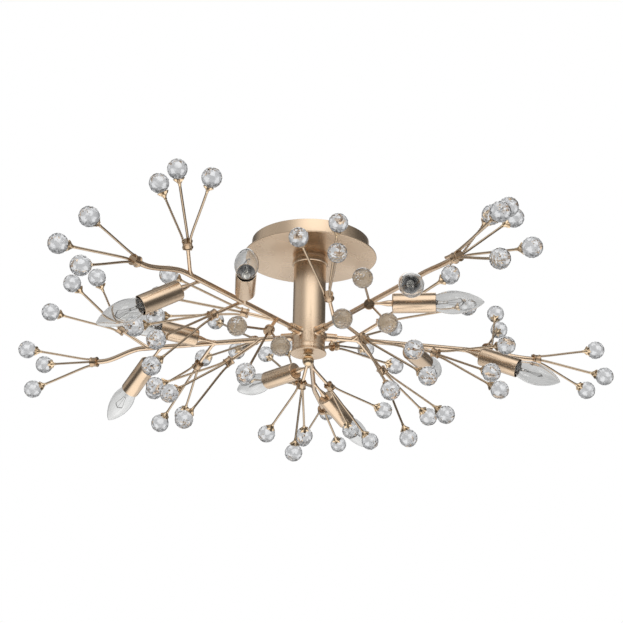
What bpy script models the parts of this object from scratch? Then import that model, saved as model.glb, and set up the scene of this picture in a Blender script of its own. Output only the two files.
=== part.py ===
"""Five-arm semi-flush chandelier with ten candle lamps and twenty-five crystal sprays.

Metres and degrees, +Z up. The origin is the centre of the flat face that lies against
the ceiling, so the whole fitting hangs below Z = 0. Each arm is modelled in its
own frame, whose X axis is the arm tube's axis, Y its left-hand side looking outwards
and Z up. The five differ only in how their lamps and fans of wires were bent by hand.
"""

import math

import bmesh
import bpy
from mathutils import Matrix, Vector

OBJECT_NAME = "multi_arm_chandelier"

# Clearance between pieces that touch
GAP = 0.0003

# Canopy: a shallow cup with a wider plate under it
CUP_RADIUS = 0.093
CUP_HEIGHT = 0.024
CUP_WALL = 0.0012
PLATE_OVERHANG = 0.012
PLATE_THICKNESS = 0.0024
WIRE_HOLE_RADIUS = 0.005
WIRE_HOLE_OFFSET = 0.014

# Ceiling bracket inside the canopy
BRACKET_WIDTH = 0.022
BRACKET_THICKNESS = 0.002
BRACKET_END_CLEARANCE = 0.008
SLOT_WIDTH = 0.005
SLOT_LENGTH = 0.020
SLOT_EDGE = 0.012
BOSS_WALL = 0.005
BOSS_HEIGHT = 0.010
BOSS_FLOOR = 0.0005

# Threaded rod that hangs the column from the bracket, and its lock nut
ROD_RADIUS = 0.004
NUT_WALL = 0.0035
NUT_HEIGHT = 0.0055
NUT_SIDES = 6

# Three-way terminal block beside the rod
BLOCK_SIZE = Vector((0.018, 0.034, 0.012))
BLOCK_OFFSET = 0.032
BLOCK_BORE_RADIUS = 0.002
BLOCK_WAYS = 3
BLOCK_PITCH = 0.010

# Column with its collars
COLUMN_RADIUS = 0.0255
COLUMN_WALL = 0.0015
COLUMN_LENGTH = 0.1555
RING_OVERHANG = 0.0025
RING_HEIGHT = 0.013
RING_GROOVE = 0.0012
FOOT_OVERHANG = 0.0025
FOOT_HEIGHT = 0.0046
FOOT_BEAD_OVERHANG = 0.0015
SPIGOT_LENGTH = 0.005
COLLAR_WALL = 0.0025
COLLAR_LENGTH = 0.0195
COLLAR_HEIGHT = 0.0255
FINIAL_RADIUS = 0.009
FINIAL_NECK_WALL = 0.0015
FINIAL_NECK_HEIGHT = 0.0025
FINIAL_BORE_DEPTH = 0.009

# Arms: even spacing, a slight rise, and the turn of each arm in its collar
ARM_COUNT = 5
FIRST_ARM_AZIMUTH = 90.0
ARM_RISE = 1.75
ARM_ROLLS = (-2.0, 5.0, 11.0, -2.0, -5.0)
ARM_RADIUS = 0.004
ARM_REACH = 0.378
ARM_ROOT_INSET = 0.004
BEND_LENGTH = 0.078
BEND_SIDE = -0.012
BEND_DROP = -0.012
TIP_STRAIGHT = 0.015
BEND_STEPS = 8

# Twigs branch off the arm and carry a ferrule each
TWIG_RADIUS = 0.0027
FERRULE_WALL = 0.0037
TIP_FERRULE_WALL = 0.0026
FERRULE_LENGTH = 0.014
FERRULE_GRIP = 0.008

# Crystal sprays: three wires from a ferrule, each with a ball on its end
WIRE_RADIUS = 0.0017
CRYSTAL_RADIUS = 0.015
WIRE_SINK = 0.003
WIRE_BED = 0.0006

# Lamps: a tapered stem, a cylindrical cup and a candle bulb
STEM_ROOT_RADIUS = 0.0024
STEM_END_RADIUS = 0.0048
STEM_LENGTH = 0.036
NIPPLE_RADIUS = 0.003
NIPPLE_LENGTH = 0.008
SHADE_RADIUS = 0.015
SHADE_LENGTH = 0.064
SHADE_WALL = 0.001
SHADE_BACK_EDGE = 0.0025
SHADE_BACK_WALL = 0.0015
BULB_CAP_RADIUS = 0.007
BULB_CAP_LENGTH = 0.019
BULB_NECK_CLEARANCE = 0.0018
BULB_RADIUS = 0.0175
BULB_INSET = 0.027
BULB_GLASS_LENGTH = 0.071

# Facets around each kind of round piece
CANOPY_SIDES = 40
COLUMN_SIDES = 24
SMALL_SIDES = 12
LAMP_SIDES = 10
FERRULE_SIDES = 6
CRYSTAL_SIDES = 6
CRYSTAL_RINGS = 4

# Radii that follow from the pieces they fit around
PLATE_RADIUS = CUP_RADIUS + PLATE_OVERHANG
BOSS_RADIUS = ROD_RADIUS + BOSS_WALL
NUT_RADIUS = ROD_RADIUS + NUT_WALL
RING_RADIUS = COLUMN_RADIUS + RING_OVERHANG
FOOT_RADIUS = COLUMN_RADIUS + FOOT_OVERHANG
FOOT_BEAD_RADIUS = COLUMN_RADIUS + FOOT_BEAD_OVERHANG
COLLAR_RADIUS = ARM_RADIUS + COLLAR_WALL
FINIAL_NECK_RADIUS = ROD_RADIUS + FINIAL_NECK_WALL
FERRULE_RADIUS = TWIG_RADIUS + FERRULE_WALL
TIP_FERRULE_RADIUS = ARM_RADIUS + TIP_FERRULE_WALL
BULB_NECK_RADIUS = SHADE_RADIUS - SHADE_WALL - BULB_NECK_CLEARANCE

# Levels that follow from the sizes above, measured down from the ceiling
PLATE_TOP = -(CUP_HEIGHT + GAP)
PLATE_BOTTOM = PLATE_TOP - PLATE_THICKNESS
COLUMN_TOP = PLATE_BOTTOM - GAP
COLUMN_BOTTOM = COLUMN_TOP - COLUMN_LENGTH
FOOT_TOP = COLUMN_BOTTOM - GAP
FOOT_BOTTOM = FOOT_TOP - FOOT_HEIGHT
FINIAL_TOP = FOOT_BOTTOM - GAP
COLLAR_LEVEL = COLUMN_BOTTOM + COLLAR_HEIGHT
COLLAR_REACH = COLUMN_RADIUS + COLLAR_LENGTH
BEND_START = ARM_REACH - TIP_STRAIGHT - BEND_LENGTH

# Where each twig leaves the arm, and how it and its three wires run. A run is its length
# and then its yaw to the left and pitch upwards, seen in the arm's frame.
SPRAYS = {
    "hub": (COLLAR_REACH + 0.025, (0.058, -45, 18), ((0.134, -35, -1), (0.135, -55, 18), (0.128, -25, 26))),
    "low": (COLLAR_REACH + 0.035, (0.064, 20, -42), ((0.119, 4, -25), (0.112, 10, -60), (0.116, 41, -33))),
    "side": (COLLAR_REACH + 0.115, (0.054, -37, -27), ((0.114, -42, -6), (0.115, -19, -35), (0.117, -57, -34))),
    "high": (BEND_START - 0.010, (0.054, 39, 24), ((0.093, 22, 57), (0.114, 59, 14), (0.108, 44, 41))),
    "tip": (ARM_REACH, None, ((0.108, -3, 13), (0.110, -15, -20), (0.110, 21, -14))),
}

# How far each spray's fan is turned about its own twig, from the first arm to the last
FAN_TURNS = {
    "hub": (-36, 19, -16, 18, 14),
    "low": (12, -24, -25, -4, 40),
    "side": (35, -37, 10, -4, -4),
    "high": (0, -68, 20, 69, -20),
    "tip": (1, 47, -63, 21, -7),
}

# Where each lamp's stem leaves the arm, and its yaw and pitch from the first arm to the last
LAMPS = {
    "inner": (COLLAR_REACH + 0.110, ((50, -2), (48, -2), (41, -5), (50, 0), (50, 4))),
    "outer": (BEND_START - 0.033, ((-39, -30), (-34, -30), (-38, -26), (-35, -27), (-33, -28))),
}

FINISHES = {
    "champagne_gold": ((0.70, 0.53, 0.37), 0.32, 1.0),
    "polished_gold": ((0.74, 0.57, 0.38), 0.18, 1.0),
    "zinc_steel": ((0.62, 0.62, 0.60), 0.40, 1.0),
    "white_ceramic": ((0.88, 0.87, 0.83), 0.35, 0.0),
    "crystal_glass": ((0.93, 0.94, 0.96), 0.05, 0.0),
    "bulb_glass": ((0.95, 0.95, 0.94), 0.04, 0.0),
}


def clear_scene():
    """Remove every object, so that the model starts from nothing."""
    for old in list(bpy.data.objects):
        bpy.data.objects.remove(old, do_unlink=True)


def new_collection(name):
    """Add a collection to the scene and return it."""
    made = bpy.data.collections.new(name)
    bpy.context.scene.collection.children.link(made)
    return made


def new_finish(name):
    """Make the Principled material of a finish."""
    colour, roughness, metallic = FINISHES[name]
    made = bpy.data.materials.new(name)
    made.use_nodes = True
    shader = made.node_tree.nodes["Principled BSDF"]
    shader.inputs["Base Color"].default_value = (*colour, 1.0)
    shader.inputs["Roughness"].default_value = roughness
    shader.inputs["Metallic"].default_value = metallic
    made.diffuse_color = (*colour, 1.0)
    return made


def direction(yaw, pitch):
    """Unit vector that points along X, turned left by yaw and then lifted by pitch."""
    yaw, pitch = math.radians(yaw), math.radians(pitch)
    flat = math.cos(pitch)
    return Vector((flat * math.cos(yaw), flat * math.sin(yaw), math.sin(pitch)))


def facing(axis, origin=Vector()):
    """Matrix that stands a shape's Z axis along the given axis, at the given origin."""
    return Matrix.Translation(origin) @ axis.to_track_quat("Z", "Y").to_matrix().to_4x4()


def clear_radius(radius, sides):
    """Radius of a faceted bore whose flats clear a round of the given radius."""
    return (radius + GAP) / math.cos(math.pi / sides)


def baked(obj):
    """Turn an object and its modifiers into a plain mesh in world space, and remove it."""
    bpy.context.view_layer.update()
    graph = bpy.context.evaluated_depsgraph_get()
    mesh = bpy.data.meshes.new_from_object(obj.evaluated_get(graph))
    mesh.transform(obj.matrix_world)
    bpy.data.objects.remove(obj, do_unlink=True)
    work = bmesh.new()
    work.from_mesh(mesh)
    bmesh.ops.remove_doubles(work, verts=work.verts, dist=0.000001)
    work.to_mesh(mesh)
    work.free()
    return mesh


def turned(profile, sides, matrix=Matrix()):
    """Mesh of a profile of (radius, height) points, screwed once around Z.

    The profile runs down its outer side. It ends on the axis, or closes on itself.
    """
    mesh = bpy.data.meshes.new("profile")
    closed = profile[0][0] > 0
    count = len(profile)
    edges = [(i, (i + 1) % count) for i in range(count if closed else count - 1)]
    mesh.from_pydata([(radius, 0, height) for radius, height in profile], edges, [])
    obj = bpy.data.objects.new("profile", mesh)
    helpers.objects.link(obj)
    screw = obj.modifiers.new("turn", "SCREW")
    screw.steps = screw.render_steps = sides
    screw.use_merge_vertices = True
    screw.merge_threshold = 0.00001
    result = baked(obj)
    result.transform(matrix)
    return result


def rod(radius, start, end, sides, end_radius=None):
    """Mesh of a closed cylinder or cone between two points."""
    mesh = bpy.data.meshes.new("rod")
    work = bmesh.new()
    bmesh.ops.create_cone(
        work, cap_ends=True, segments=sides, radius1=radius,
        radius2=radius if end_radius is None else end_radius, depth=(end - start).length,
    )
    work.to_mesh(mesh)
    work.free()
    mesh.transform(facing(end - start, (start + end) / 2))
    return mesh


def block(size, centre):
    """Mesh of a closed box."""
    mesh = bpy.data.meshes.new("block")
    work = bmesh.new()
    bmesh.ops.create_cube(work, size=1.0)
    work.to_mesh(mesh)
    work.free()
    mesh.transform(Matrix.Translation(centre) @ Matrix.Diagonal((*size, 1.0)))
    return mesh


def ball(radius, centre, pole):
    """Mesh of a faceted ball whose pole points along the given axis."""
    mesh = bpy.data.meshes.new("ball")
    work = bmesh.new()
    bmesh.ops.create_uvsphere(work, u_segments=CRYSTAL_SIDES, v_segments=CRYSTAL_RINGS, radius=radius)
    work.to_mesh(mesh)
    work.free()
    mesh.transform(facing(pole, centre))
    return mesh


def bent_tube(points, radius, bevel_resolution):
    """Mesh of a solid round tube along a path of points, with filled caps."""
    curve = bpy.data.curves.new("path", "CURVE")
    curve.dimensions = "3D"
    curve.bevel_depth = radius
    curve.bevel_resolution = bevel_resolution
    curve.use_fill_caps = True
    spline = curve.splines.new("POLY")
    spline.points.add(len(points) - 1)
    for point, place in zip(spline.points, points):
        point.co = (*place, 1.0)
    obj = bpy.data.objects.new("path", curve)
    helpers.objects.link(obj)
    return baked(obj)


def combined(base, others, operation):
    """Mesh that joins the others to the base, or cuts them from it, by exact Booleans."""
    target = bpy.data.objects.new("target", base)
    helpers.objects.link(target)
    tools = []
    for mesh in others:
        tool = bpy.data.objects.new("tool", mesh)
        tool.hide_render = True
        tool.display_type = "WIRE"
        helpers.objects.link(tool)
        tools.append(tool)
        change = target.modifiers.new(operation.lower(), "BOOLEAN")
        change.solver = "EXACT"
        change.operation = operation
        change.object = tool
    result = baked(target)
    for tool in tools:
        bpy.data.objects.remove(tool, do_unlink=True)
    return result


def place(name, mesh, finish, parent=None, matrix=Matrix(), smooth=True):
    """Add a named sub-part to the model, in its own finish, under its parent."""
    obj = bpy.data.objects.new(name, mesh)
    parts.objects.link(obj)
    obj.parent = parent
    obj.matrix_local = matrix
    if not mesh.materials:
        mesh.materials.append(finishes[finish])
    if smooth:
        mesh.shade_smooth()
        mesh.set_sharp_from_angle(angle=math.radians(40))
    return obj


def canopy():
    """The cup that hides the ceiling box, and the wider plate that closes it."""
    bore = clear_radius(ROD_RADIUS, SMALL_SIDES)
    inner = CUP_RADIUS - CUP_WALL
    floor = -(CUP_HEIGHT - CUP_WALL)
    cup = turned(
        [(CUP_RADIUS, 0), (CUP_RADIUS, -CUP_HEIGHT), (bore, -CUP_HEIGHT), (bore, floor), (inner, floor), (inner, 0)],
        CANOPY_SIDES,
    )
    plate = turned(
        [(PLATE_RADIUS, PLATE_TOP), (PLATE_RADIUS, PLATE_BOTTOM), (bore, PLATE_BOTTOM), (bore, PLATE_TOP)],
        CANOPY_SIDES,
    )
    for name, mesh in (("canopy_cup", cup), ("canopy_plate", plate)):
        hole = rod(
            WIRE_HOLE_RADIUS,
            Vector((0, WIRE_HOLE_OFFSET, PLATE_BOTTOM - CUP_HEIGHT)),
            Vector((0, WIRE_HOLE_OFFSET, -BRACKET_THICKNESS)),
            SMALL_SIDES,
        )
        place(name, combined(mesh, [hole], "DIFFERENCE"), "champagne_gold")


def ceiling_bracket():
    """The slotted bar screwed to the ceiling, with the boss that the rod screws into."""
    half = CUP_RADIUS - CUP_WALL - BRACKET_END_CLEARANCE
    bar = block(
        Vector((2 * half, BRACKET_WIDTH, BRACKET_THICKNESS)), Vector((0, 0, -BRACKET_THICKNESS / 2))
    )
    bottom = -(BRACKET_THICKNESS + BOSS_HEIGHT)
    boss = rod(BOSS_RADIUS, Vector((0, 0, bottom)), Vector((0, 0, -BRACKET_THICKNESS / 2)), SMALL_SIDES)
    cuts = [
        rod(
            clear_radius(ROD_RADIUS, SMALL_SIDES), Vector((0, 0, bottom * 2)),
            Vector((0, 0, -(BRACKET_THICKNESS + BOSS_FLOOR))), SMALL_SIDES,
        )
    ]
    for side in (-1, 1):
        middle = side * (half - SLOT_EDGE - SLOT_LENGTH / 2)
        cuts.append(block(Vector((SLOT_LENGTH, SLOT_WIDTH, 3 * BRACKET_THICKNESS)), Vector((middle, 0, 0))))
    mesh = combined(combined(bar, [boss], "UNION"), cuts, "DIFFERENCE")
    place("ceiling_bracket", mesh, "zinc_steel", smooth=False)


def hanging_rod():
    """The threaded rod from the bracket down to the finial, and the nut that locks it."""
    top = -(BRACKET_THICKNESS + BOSS_FLOOR + GAP)
    bottom = FINIAL_TOP - FINIAL_BORE_DEPTH + GAP
    place(
        "threaded_rod", rod(ROD_RADIUS, Vector((0, 0, bottom)), Vector((0, 0, top)), SMALL_SIDES), "zinc_steel"
    )
    nut_top = -(BRACKET_THICKNESS + BOSS_HEIGHT + GAP)
    bore = clear_radius(ROD_RADIUS, NUT_SIDES)
    nut = turned(
        [
            (NUT_RADIUS, nut_top), (NUT_RADIUS, nut_top - NUT_HEIGHT),
            (bore, nut_top - NUT_HEIGHT), (bore, nut_top),
        ],
        NUT_SIDES,
    )
    place("rod_lock_nut", nut, "zinc_steel", smooth=False)


def terminal_block():
    """The ceramic connector block clipped under the bracket, with its wire ways."""
    centre = Vector((BLOCK_OFFSET, 0, -(BRACKET_THICKNESS + GAP + BLOCK_SIZE.z / 2)))
    ways = []
    for way in range(BLOCK_WAYS):
        side = (way - (BLOCK_WAYS - 1) / 2) * BLOCK_PITCH
        start = centre + Vector((-BLOCK_SIZE.x, side, 0))
        ways.append(rod(BLOCK_BORE_RADIUS, start, centre + Vector((BLOCK_SIZE.x, side, 0)), FERRULE_SIDES))
    body = combined(block(BLOCK_SIZE, centre), ways, "DIFFERENCE")
    place("terminal_block", body, "white_ceramic", smooth=False)


def column():
    """The tube with its five arm collars, the ring at its top and the cap at its foot."""
    inner = COLUMN_RADIUS - COLUMN_WALL
    tube = turned(
        [(COLUMN_RADIUS, COLUMN_TOP), (COLUMN_RADIUS, COLUMN_BOTTOM), (inner, COLUMN_BOTTOM), (inner, COLUMN_TOP)],
        COLUMN_SIDES,
    )
    collars, bores = [], []
    for axis in arm_axes:
        outwards = axis.matrix_world.to_3x3() @ Vector((1, 0, 0))
        root = axis.matrix_world.translation
        collars.append(
            rod(COLLAR_RADIUS, root + outwards * (inner + COLUMN_WALL / 3), root + outwards * COLLAR_REACH, SMALL_SIDES)
        )
        bores.append(
            rod(
                clear_radius(ARM_RADIUS, SMALL_SIDES), root + outwards * inner / 2,
                root + outwards * (COLLAR_REACH + COLLAR_LENGTH), SMALL_SIDES,
            )
        )
    tube = combined(combined(tube, collars, "UNION"), bores, "DIFFERENCE")
    place("column_tube", tube, "champagne_gold")

    bore = clear_radius(COLUMN_RADIUS, COLUMN_SIDES)
    step = RING_HEIGHT / 3
    groove = RING_RADIUS - RING_GROOVE
    ring = turned(
        [
            (RING_RADIUS, COLUMN_TOP), (RING_RADIUS, COLUMN_TOP - step), (groove, COLUMN_TOP - 1.5 * step),
            (RING_RADIUS, COLUMN_TOP - 2 * step), (RING_RADIUS, COLUMN_TOP - 3 * step),
            (bore, COLUMN_TOP - 3 * step), (bore, COLUMN_TOP),
        ],
        COLUMN_SIDES,
    )
    place("column_top_ring", ring, "champagne_gold")

    rod_bore = clear_radius(ROD_RADIUS, SMALL_SIDES)
    spigot = inner * math.cos(math.pi / COLUMN_SIDES) - GAP
    foot = turned(
        [
            (spigot, FOOT_TOP + SPIGOT_LENGTH), (spigot, FOOT_TOP), (FOOT_BEAD_RADIUS, FOOT_TOP),
            (FOOT_RADIUS, FOOT_TOP - FOOT_HEIGHT / 2), (FOOT_RADIUS, FOOT_BOTTOM), (rod_bore, FOOT_BOTTOM),
            (rod_bore, FOOT_TOP + SPIGOT_LENGTH),
        ],
        COLUMN_SIDES,
    )
    place("column_foot_cap", foot, "champagne_gold")


def finial():
    """The ball nut that screws onto the rod's end and clamps the stack together."""
    ball_centre = FINIAL_TOP - FINIAL_NECK_HEIGHT - FINIAL_RADIUS * 0.9
    start = math.asin(FINIAL_NECK_RADIUS / FINIAL_RADIUS)
    steps = 6
    arc = []
    for i in range(steps + 1):
        angle = start + (math.pi - start) * i / steps
        arc.append((FINIAL_RADIUS * math.sin(angle), ball_centre + FINIAL_RADIUS * math.cos(angle)))
    arc[-1] = (0, arc[-1][1])
    bore = clear_radius(ROD_RADIUS, SMALL_SIDES)
    depth = FINIAL_TOP - FINIAL_BORE_DEPTH
    profile = [(0, depth), (bore, depth), (bore, FINIAL_TOP), (FINIAL_NECK_RADIUS, FINIAL_TOP), *arc]
    place("finial_ball", turned(profile, SMALL_SIDES), "polished_gold", parent=finial_axis,
          matrix=finial_axis.matrix_world.inverted())


def arm_path():
    """Centre line of an arm: straight, then one easy S to the right and down, then straight."""
    points = [Vector((COLUMN_RADIUS - COLUMN_WALL - ARM_ROOT_INSET, 0, 0))]
    for i in range(BEND_STEPS + 1):
        along = i / BEND_STEPS
        ease = along * along * (3 - 2 * along)
        points.append(Vector((BEND_START + BEND_LENGTH * along, BEND_SIDE * ease, BEND_DROP * ease)))
    points.append(Vector((ARM_REACH, BEND_SIDE, BEND_DROP)))
    return points


def spray_seat(kind):
    """Where a spray's ferrule starts and which way it points, in the arm's frame."""
    station, twig, _ = SPRAYS[kind]
    if twig is None:
        return Vector((ARM_REACH - FERRULE_GRIP, BEND_SIDE, BEND_DROP)), Vector((1, 0, 0))
    length, yaw, pitch = twig
    axis = direction(yaw, pitch)
    return Vector((station, 0, 0)) + axis * (length - FERRULE_GRIP), axis


def lamp_seat(kind, index):
    """Where a lamp's stem ends and which way it points, in the frame of the arm of that index."""
    station, aims = LAMPS[kind]
    axis = direction(*aims[index % len(aims)])
    return Vector((station, 0, 0)) + axis * STEM_LENGTH, axis


def arm_mesh(index):
    """One arm: its tube, four twigs, and two tapered lamp stems with their nipples."""
    branches = []
    for kind, (station, twig, _) in SPRAYS.items():
        if twig is None:
            continue
        seat, axis = spray_seat(kind)
        branches.append(
            rod(TWIG_RADIUS, Vector((station, 0, 0)), seat + axis * (FERRULE_GRIP - GAP), FERRULE_SIDES)
        )
    for kind, (station, _) in LAMPS.items():
        seat, axis = lamp_seat(kind, index)
        branches.append(rod(STEM_ROOT_RADIUS, Vector((station, 0, 0)), seat, SMALL_SIDES, STEM_END_RADIUS))
        branches.append(rod(NIPPLE_RADIUS, seat - axis * NIPPLE_LENGTH, seat + axis * NIPPLE_LENGTH, FERRULE_SIDES))
    return combined(bent_tube(arm_path(), ARM_RADIUS, 2), branches, "UNION")


def spray_mesh(kind, fan_turn):
    """One spray: the ferrule on its twig, and three wires that each end in a ball."""
    seat, axis = spray_seat(kind)
    held = ARM_RADIUS if kind == "tip" else TWIG_RADIUS
    outside = TIP_FERRULE_RADIUS if kind == "tip" else FERRULE_RADIUS
    bore = clear_radius(held, FERRULE_SIDES)
    ferrule = turned(
        [(0, FERRULE_LENGTH), (outside, FERRULE_LENGTH), (outside, 0), (bore, 0), (bore, FERRULE_GRIP), (0, FERRULE_GRIP)],
        FERRULE_SIDES,
        facing(axis, seat),
    )
    pieces = []
    hub = seat + axis * FERRULE_GRIP
    fan = Matrix.Rotation(math.radians(fan_turn), 3, axis)
    for length, yaw, pitch in SPRAYS[kind][2]:
        run = fan @ direction(yaw, pitch)
        centre = hub + run * length
        beside = (run - axis * run.dot(axis)).normalized() * (outside * math.cos(math.pi / 6) + WIRE_BED)
        heading = (centre - hub - axis * FERRULE_LENGTH / 2 - beside).normalized()
        path = [
            seat + axis * WIRE_SINK + beside,
            seat + axis * FERRULE_LENGTH + beside,
            centre - heading * (CRYSTAL_RADIUS - WIRE_SINK),
        ]
        pieces.append(bent_tube(path, WIRE_RADIUS, 0))
        pieces.append(ball(CRYSTAL_RADIUS, centre, heading))
    return combined(ferrule, pieces, "UNION")


def shade_mesh():
    """A lamp cup along Z: open at its mouth, its back closed but for the nipple's hole."""
    inner = SHADE_RADIUS - SHADE_WALL
    hole = clear_radius(NIPPLE_RADIUS, LAMP_SIDES)
    return turned(
        [
            (SHADE_RADIUS, SHADE_LENGTH), (SHADE_RADIUS, SHADE_BACK_EDGE), (SHADE_RADIUS - SHADE_BACK_EDGE, 0),
            (hole, 0), (hole, SHADE_BACK_WALL), (inner - SHADE_BACK_EDGE, SHADE_BACK_WALL),
            (inner, SHADE_BACK_EDGE + SHADE_BACK_WALL), (inner, SHADE_LENGTH),
        ],
        LAMP_SIDES,
    )


def bulb_mesh():
    """A candle bulb along Z: its cap, then the glass that swells out of the cup's mouth."""
    cap_end = -BULB_INSET
    glass = [(BULB_NECK_RADIUS, 0.0)]
    steps = 5
    for i in range(1, steps):
        along = i / steps
        swell = BULB_NECK_RADIUS + (BULB_RADIUS - BULB_NECK_RADIUS) * math.sin(min(along / 0.32, 1) * math.pi / 2)
        taper = math.cos(max(0.0, (along - 0.32) / 0.68) * math.pi / 2) ** 0.8
        glass.append((swell * taper, BULB_GLASS_LENGTH * along))
    profile = [(0, BULB_GLASS_LENGTH)] + glass[::-1] + [
        (BULB_CAP_RADIUS, cap_end + BULB_CAP_LENGTH), (BULB_CAP_RADIUS, cap_end), (0, cap_end),
    ]
    return turned(profile, LAMP_SIDES)


def arms():
    """Place an arm, its sprays and its lamps on each of the arm axes."""
    shade = shade_mesh()
    bulb = bulb_mesh()
    for index, axis in enumerate(arm_axes):
        number = index + 1
        place(f"arm_{number}", arm_mesh(index), "champagne_gold", axis)
        for kind, turns in FAN_TURNS.items():
            mesh = spray_mesh(kind, turns[index % len(turns)])
            place(f"spray_{number}_{kind}", mesh, "crystal_glass", axis)
        for kind in LAMPS:
            seat, aim = lamp_seat(kind, index)
            back = seat + aim * GAP
            place(f"lamp_cup_{number}_{kind}", shade, "champagne_gold", axis, facing(aim, back))
            mouth = back + aim * SHADE_LENGTH
            place(f"bulb_{number}_{kind}", bulb, "bulb_glass", axis, facing(aim, mouth))


def new_axis(name, matrix):
    """Add an empty that marks a joint's axis."""
    empty = bpy.data.objects.new(name, None)
    parts.objects.link(empty)
    empty.matrix_world = matrix
    return empty


clear_scene()
parts = new_collection(OBJECT_NAME)
helpers = new_collection(OBJECT_NAME + "_cutters")
finishes = {name: new_finish(name) for name in FINISHES}
arm_axes = []
for index, roll in enumerate(ARM_ROLLS[:ARM_COUNT]):
    azimuth = math.radians(FIRST_ARM_AZIMUTH + 360 * index / ARM_COUNT)
    turn = Matrix.Rotation(azimuth, 4, "Z") @ Matrix.Rotation(-math.radians(ARM_RISE), 4, "Y")
    sink = Matrix.Translation((0, 0, COLLAR_LEVEL))
    arm_axes.append(new_axis(f"arm_axis_{index + 1}", sink @ turn @ Matrix.Rotation(math.radians(roll), 4, "X")))
finial_axis = new_axis("finial_axis", Matrix.Translation((0, 0, FINIAL_TOP)))
bpy.context.view_layer.update()

canopy()
ceiling_bracket()
hanging_rod()
terminal_block()
column()
finial()
arms()
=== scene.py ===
"""Final look of a semi-flush chandelier: a canopy and a short column, five branching arms, ten
candle lamps and twenty-five sprays of faceted crystal balls.

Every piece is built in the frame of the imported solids. An arm is described in its own frame, with
X along its tube from the column axis outwards, Y to its left and Z upwards, as the solids are.
"""

import sys
import logging
import math
from collections.abc import Callable, Iterable, Sequence
from dataclasses import dataclass, field
from enum import Enum
from functools import partialmethod
from typing import Any

import bmesh
import bpy
from mathutils import Matrix, Vector


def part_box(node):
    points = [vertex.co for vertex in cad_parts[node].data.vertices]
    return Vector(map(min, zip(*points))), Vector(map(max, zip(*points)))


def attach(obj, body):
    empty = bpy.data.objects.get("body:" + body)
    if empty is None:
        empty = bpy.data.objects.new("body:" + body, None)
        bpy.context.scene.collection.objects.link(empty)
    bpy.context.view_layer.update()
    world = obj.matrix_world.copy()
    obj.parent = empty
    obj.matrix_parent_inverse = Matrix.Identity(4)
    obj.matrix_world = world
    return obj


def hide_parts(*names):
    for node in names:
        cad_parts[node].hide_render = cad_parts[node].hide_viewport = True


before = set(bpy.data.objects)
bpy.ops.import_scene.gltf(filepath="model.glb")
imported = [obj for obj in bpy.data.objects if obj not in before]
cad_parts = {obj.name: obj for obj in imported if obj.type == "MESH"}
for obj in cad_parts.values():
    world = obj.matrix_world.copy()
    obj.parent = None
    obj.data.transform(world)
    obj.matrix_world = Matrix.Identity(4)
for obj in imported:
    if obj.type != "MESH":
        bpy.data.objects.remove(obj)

LOG = logging.getLogger("chandelier")
Mesh = bpy.types.Mesh
Object = bpy.types.Object
Material = bpy.types.Material
Socket = bpy.types.NodeSocket
Outline = list[tuple[float, float]]
Colour = tuple[float, float, float]
TAU = 2 * math.pi
# A Wave Texture of this scale, over a pitch in metres, has one ridge in each pitch.
WAVE_UNIT = 0.05 * TAU
# Clearance between pieces that meet, in metres.
CLEARANCE = 0.0003
ARMS = 5


# ------------------------------------------------------------------------------ shader building


class Nodes:
    """A node tree, with one method that adds any node."""

    def __init__(self, tree: bpy.types.NodeTree) -> None:
        """Start on a tree and empty it."""
        self.tree = tree
        tree.nodes.clear()

    def node(self, kind: str, settings: dict[str, Any] | None = None,
             sockets: dict[Any, Any] | None = None) -> bpy.types.Node:
        """Add a node.

        Args:
            kind: the node's type name.
            settings: properties of the node, set first.
            sockets: for each input, by name or index, its value or the socket that feeds it.

        Returns:
            The new node.
        """
        made = self.tree.nodes.new(kind)
        for key, value in (settings or {}).items():
            setattr(made, key, value)
        for key, value in (sockets or {}).items():
            source = value.socket if isinstance(value, Field) else value
            if isinstance(source, Socket):
                self.tree.links.new(source, made.inputs[key])
            else:
                made.inputs[key].default_value = source
        return made


class Surface(Nodes):
    """A material's node tree, with short forms of what its finishes need."""

    def __init__(self, name: str) -> None:
        """Start a material of the given name with an empty tree."""
        self.material = bpy.data.materials.new(name)
        self.material.use_nodes = True
        super().__init__(self.material.node_tree)

    def place(self) -> Socket:
        """Object coordinates of the shaded point, in metres."""
        return self.node("ShaderNodeTexCoord").outputs["Object"]

    def noise(self, scale: float, detail: float = 2.0) -> "Field":
        """Noise on object coordinates.

        Args:
            scale: bumps per metre.
            detail: octaves of finer noise.

        Returns:
            The noise value, about 0 to 1.
        """
        sockets = {"Vector": self.place(), "Scale": scale, "Detail": detail}
        return Field(self, self.node("ShaderNodeTexNoise", sockets=sockets).outputs[0])

    def mix(self, share: Any, first: Any, second: Any) -> Socket:
        """Blend two colours by a share from 0 to 1."""
        made = self.node(
            "ShaderNodeMix", {"data_type": "RGBA"}, {0: share, 6: as_colour(first), 7: as_colour(second)}
        )
        return made.outputs[2]

    def bump(self, height: "Field", strength: float, distance: float) -> Socket:
        """Normal that a height pattern bends."""
        sockets = {"Height": height, "Strength": strength, "Distance": distance}
        return self.node("ShaderNodeBump", sockets=sockets).outputs[0]

    def finish(self, inputs: dict[str, Any]) -> Material:
        """End in a Principled shader with the given inputs, and return the material."""
        shader = self.node("ShaderNodeBsdfPrincipled", sockets=inputs)
        self.node("ShaderNodeOutputMaterial", sockets={"Surface": shader.outputs[0]})
        return self.material


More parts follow.
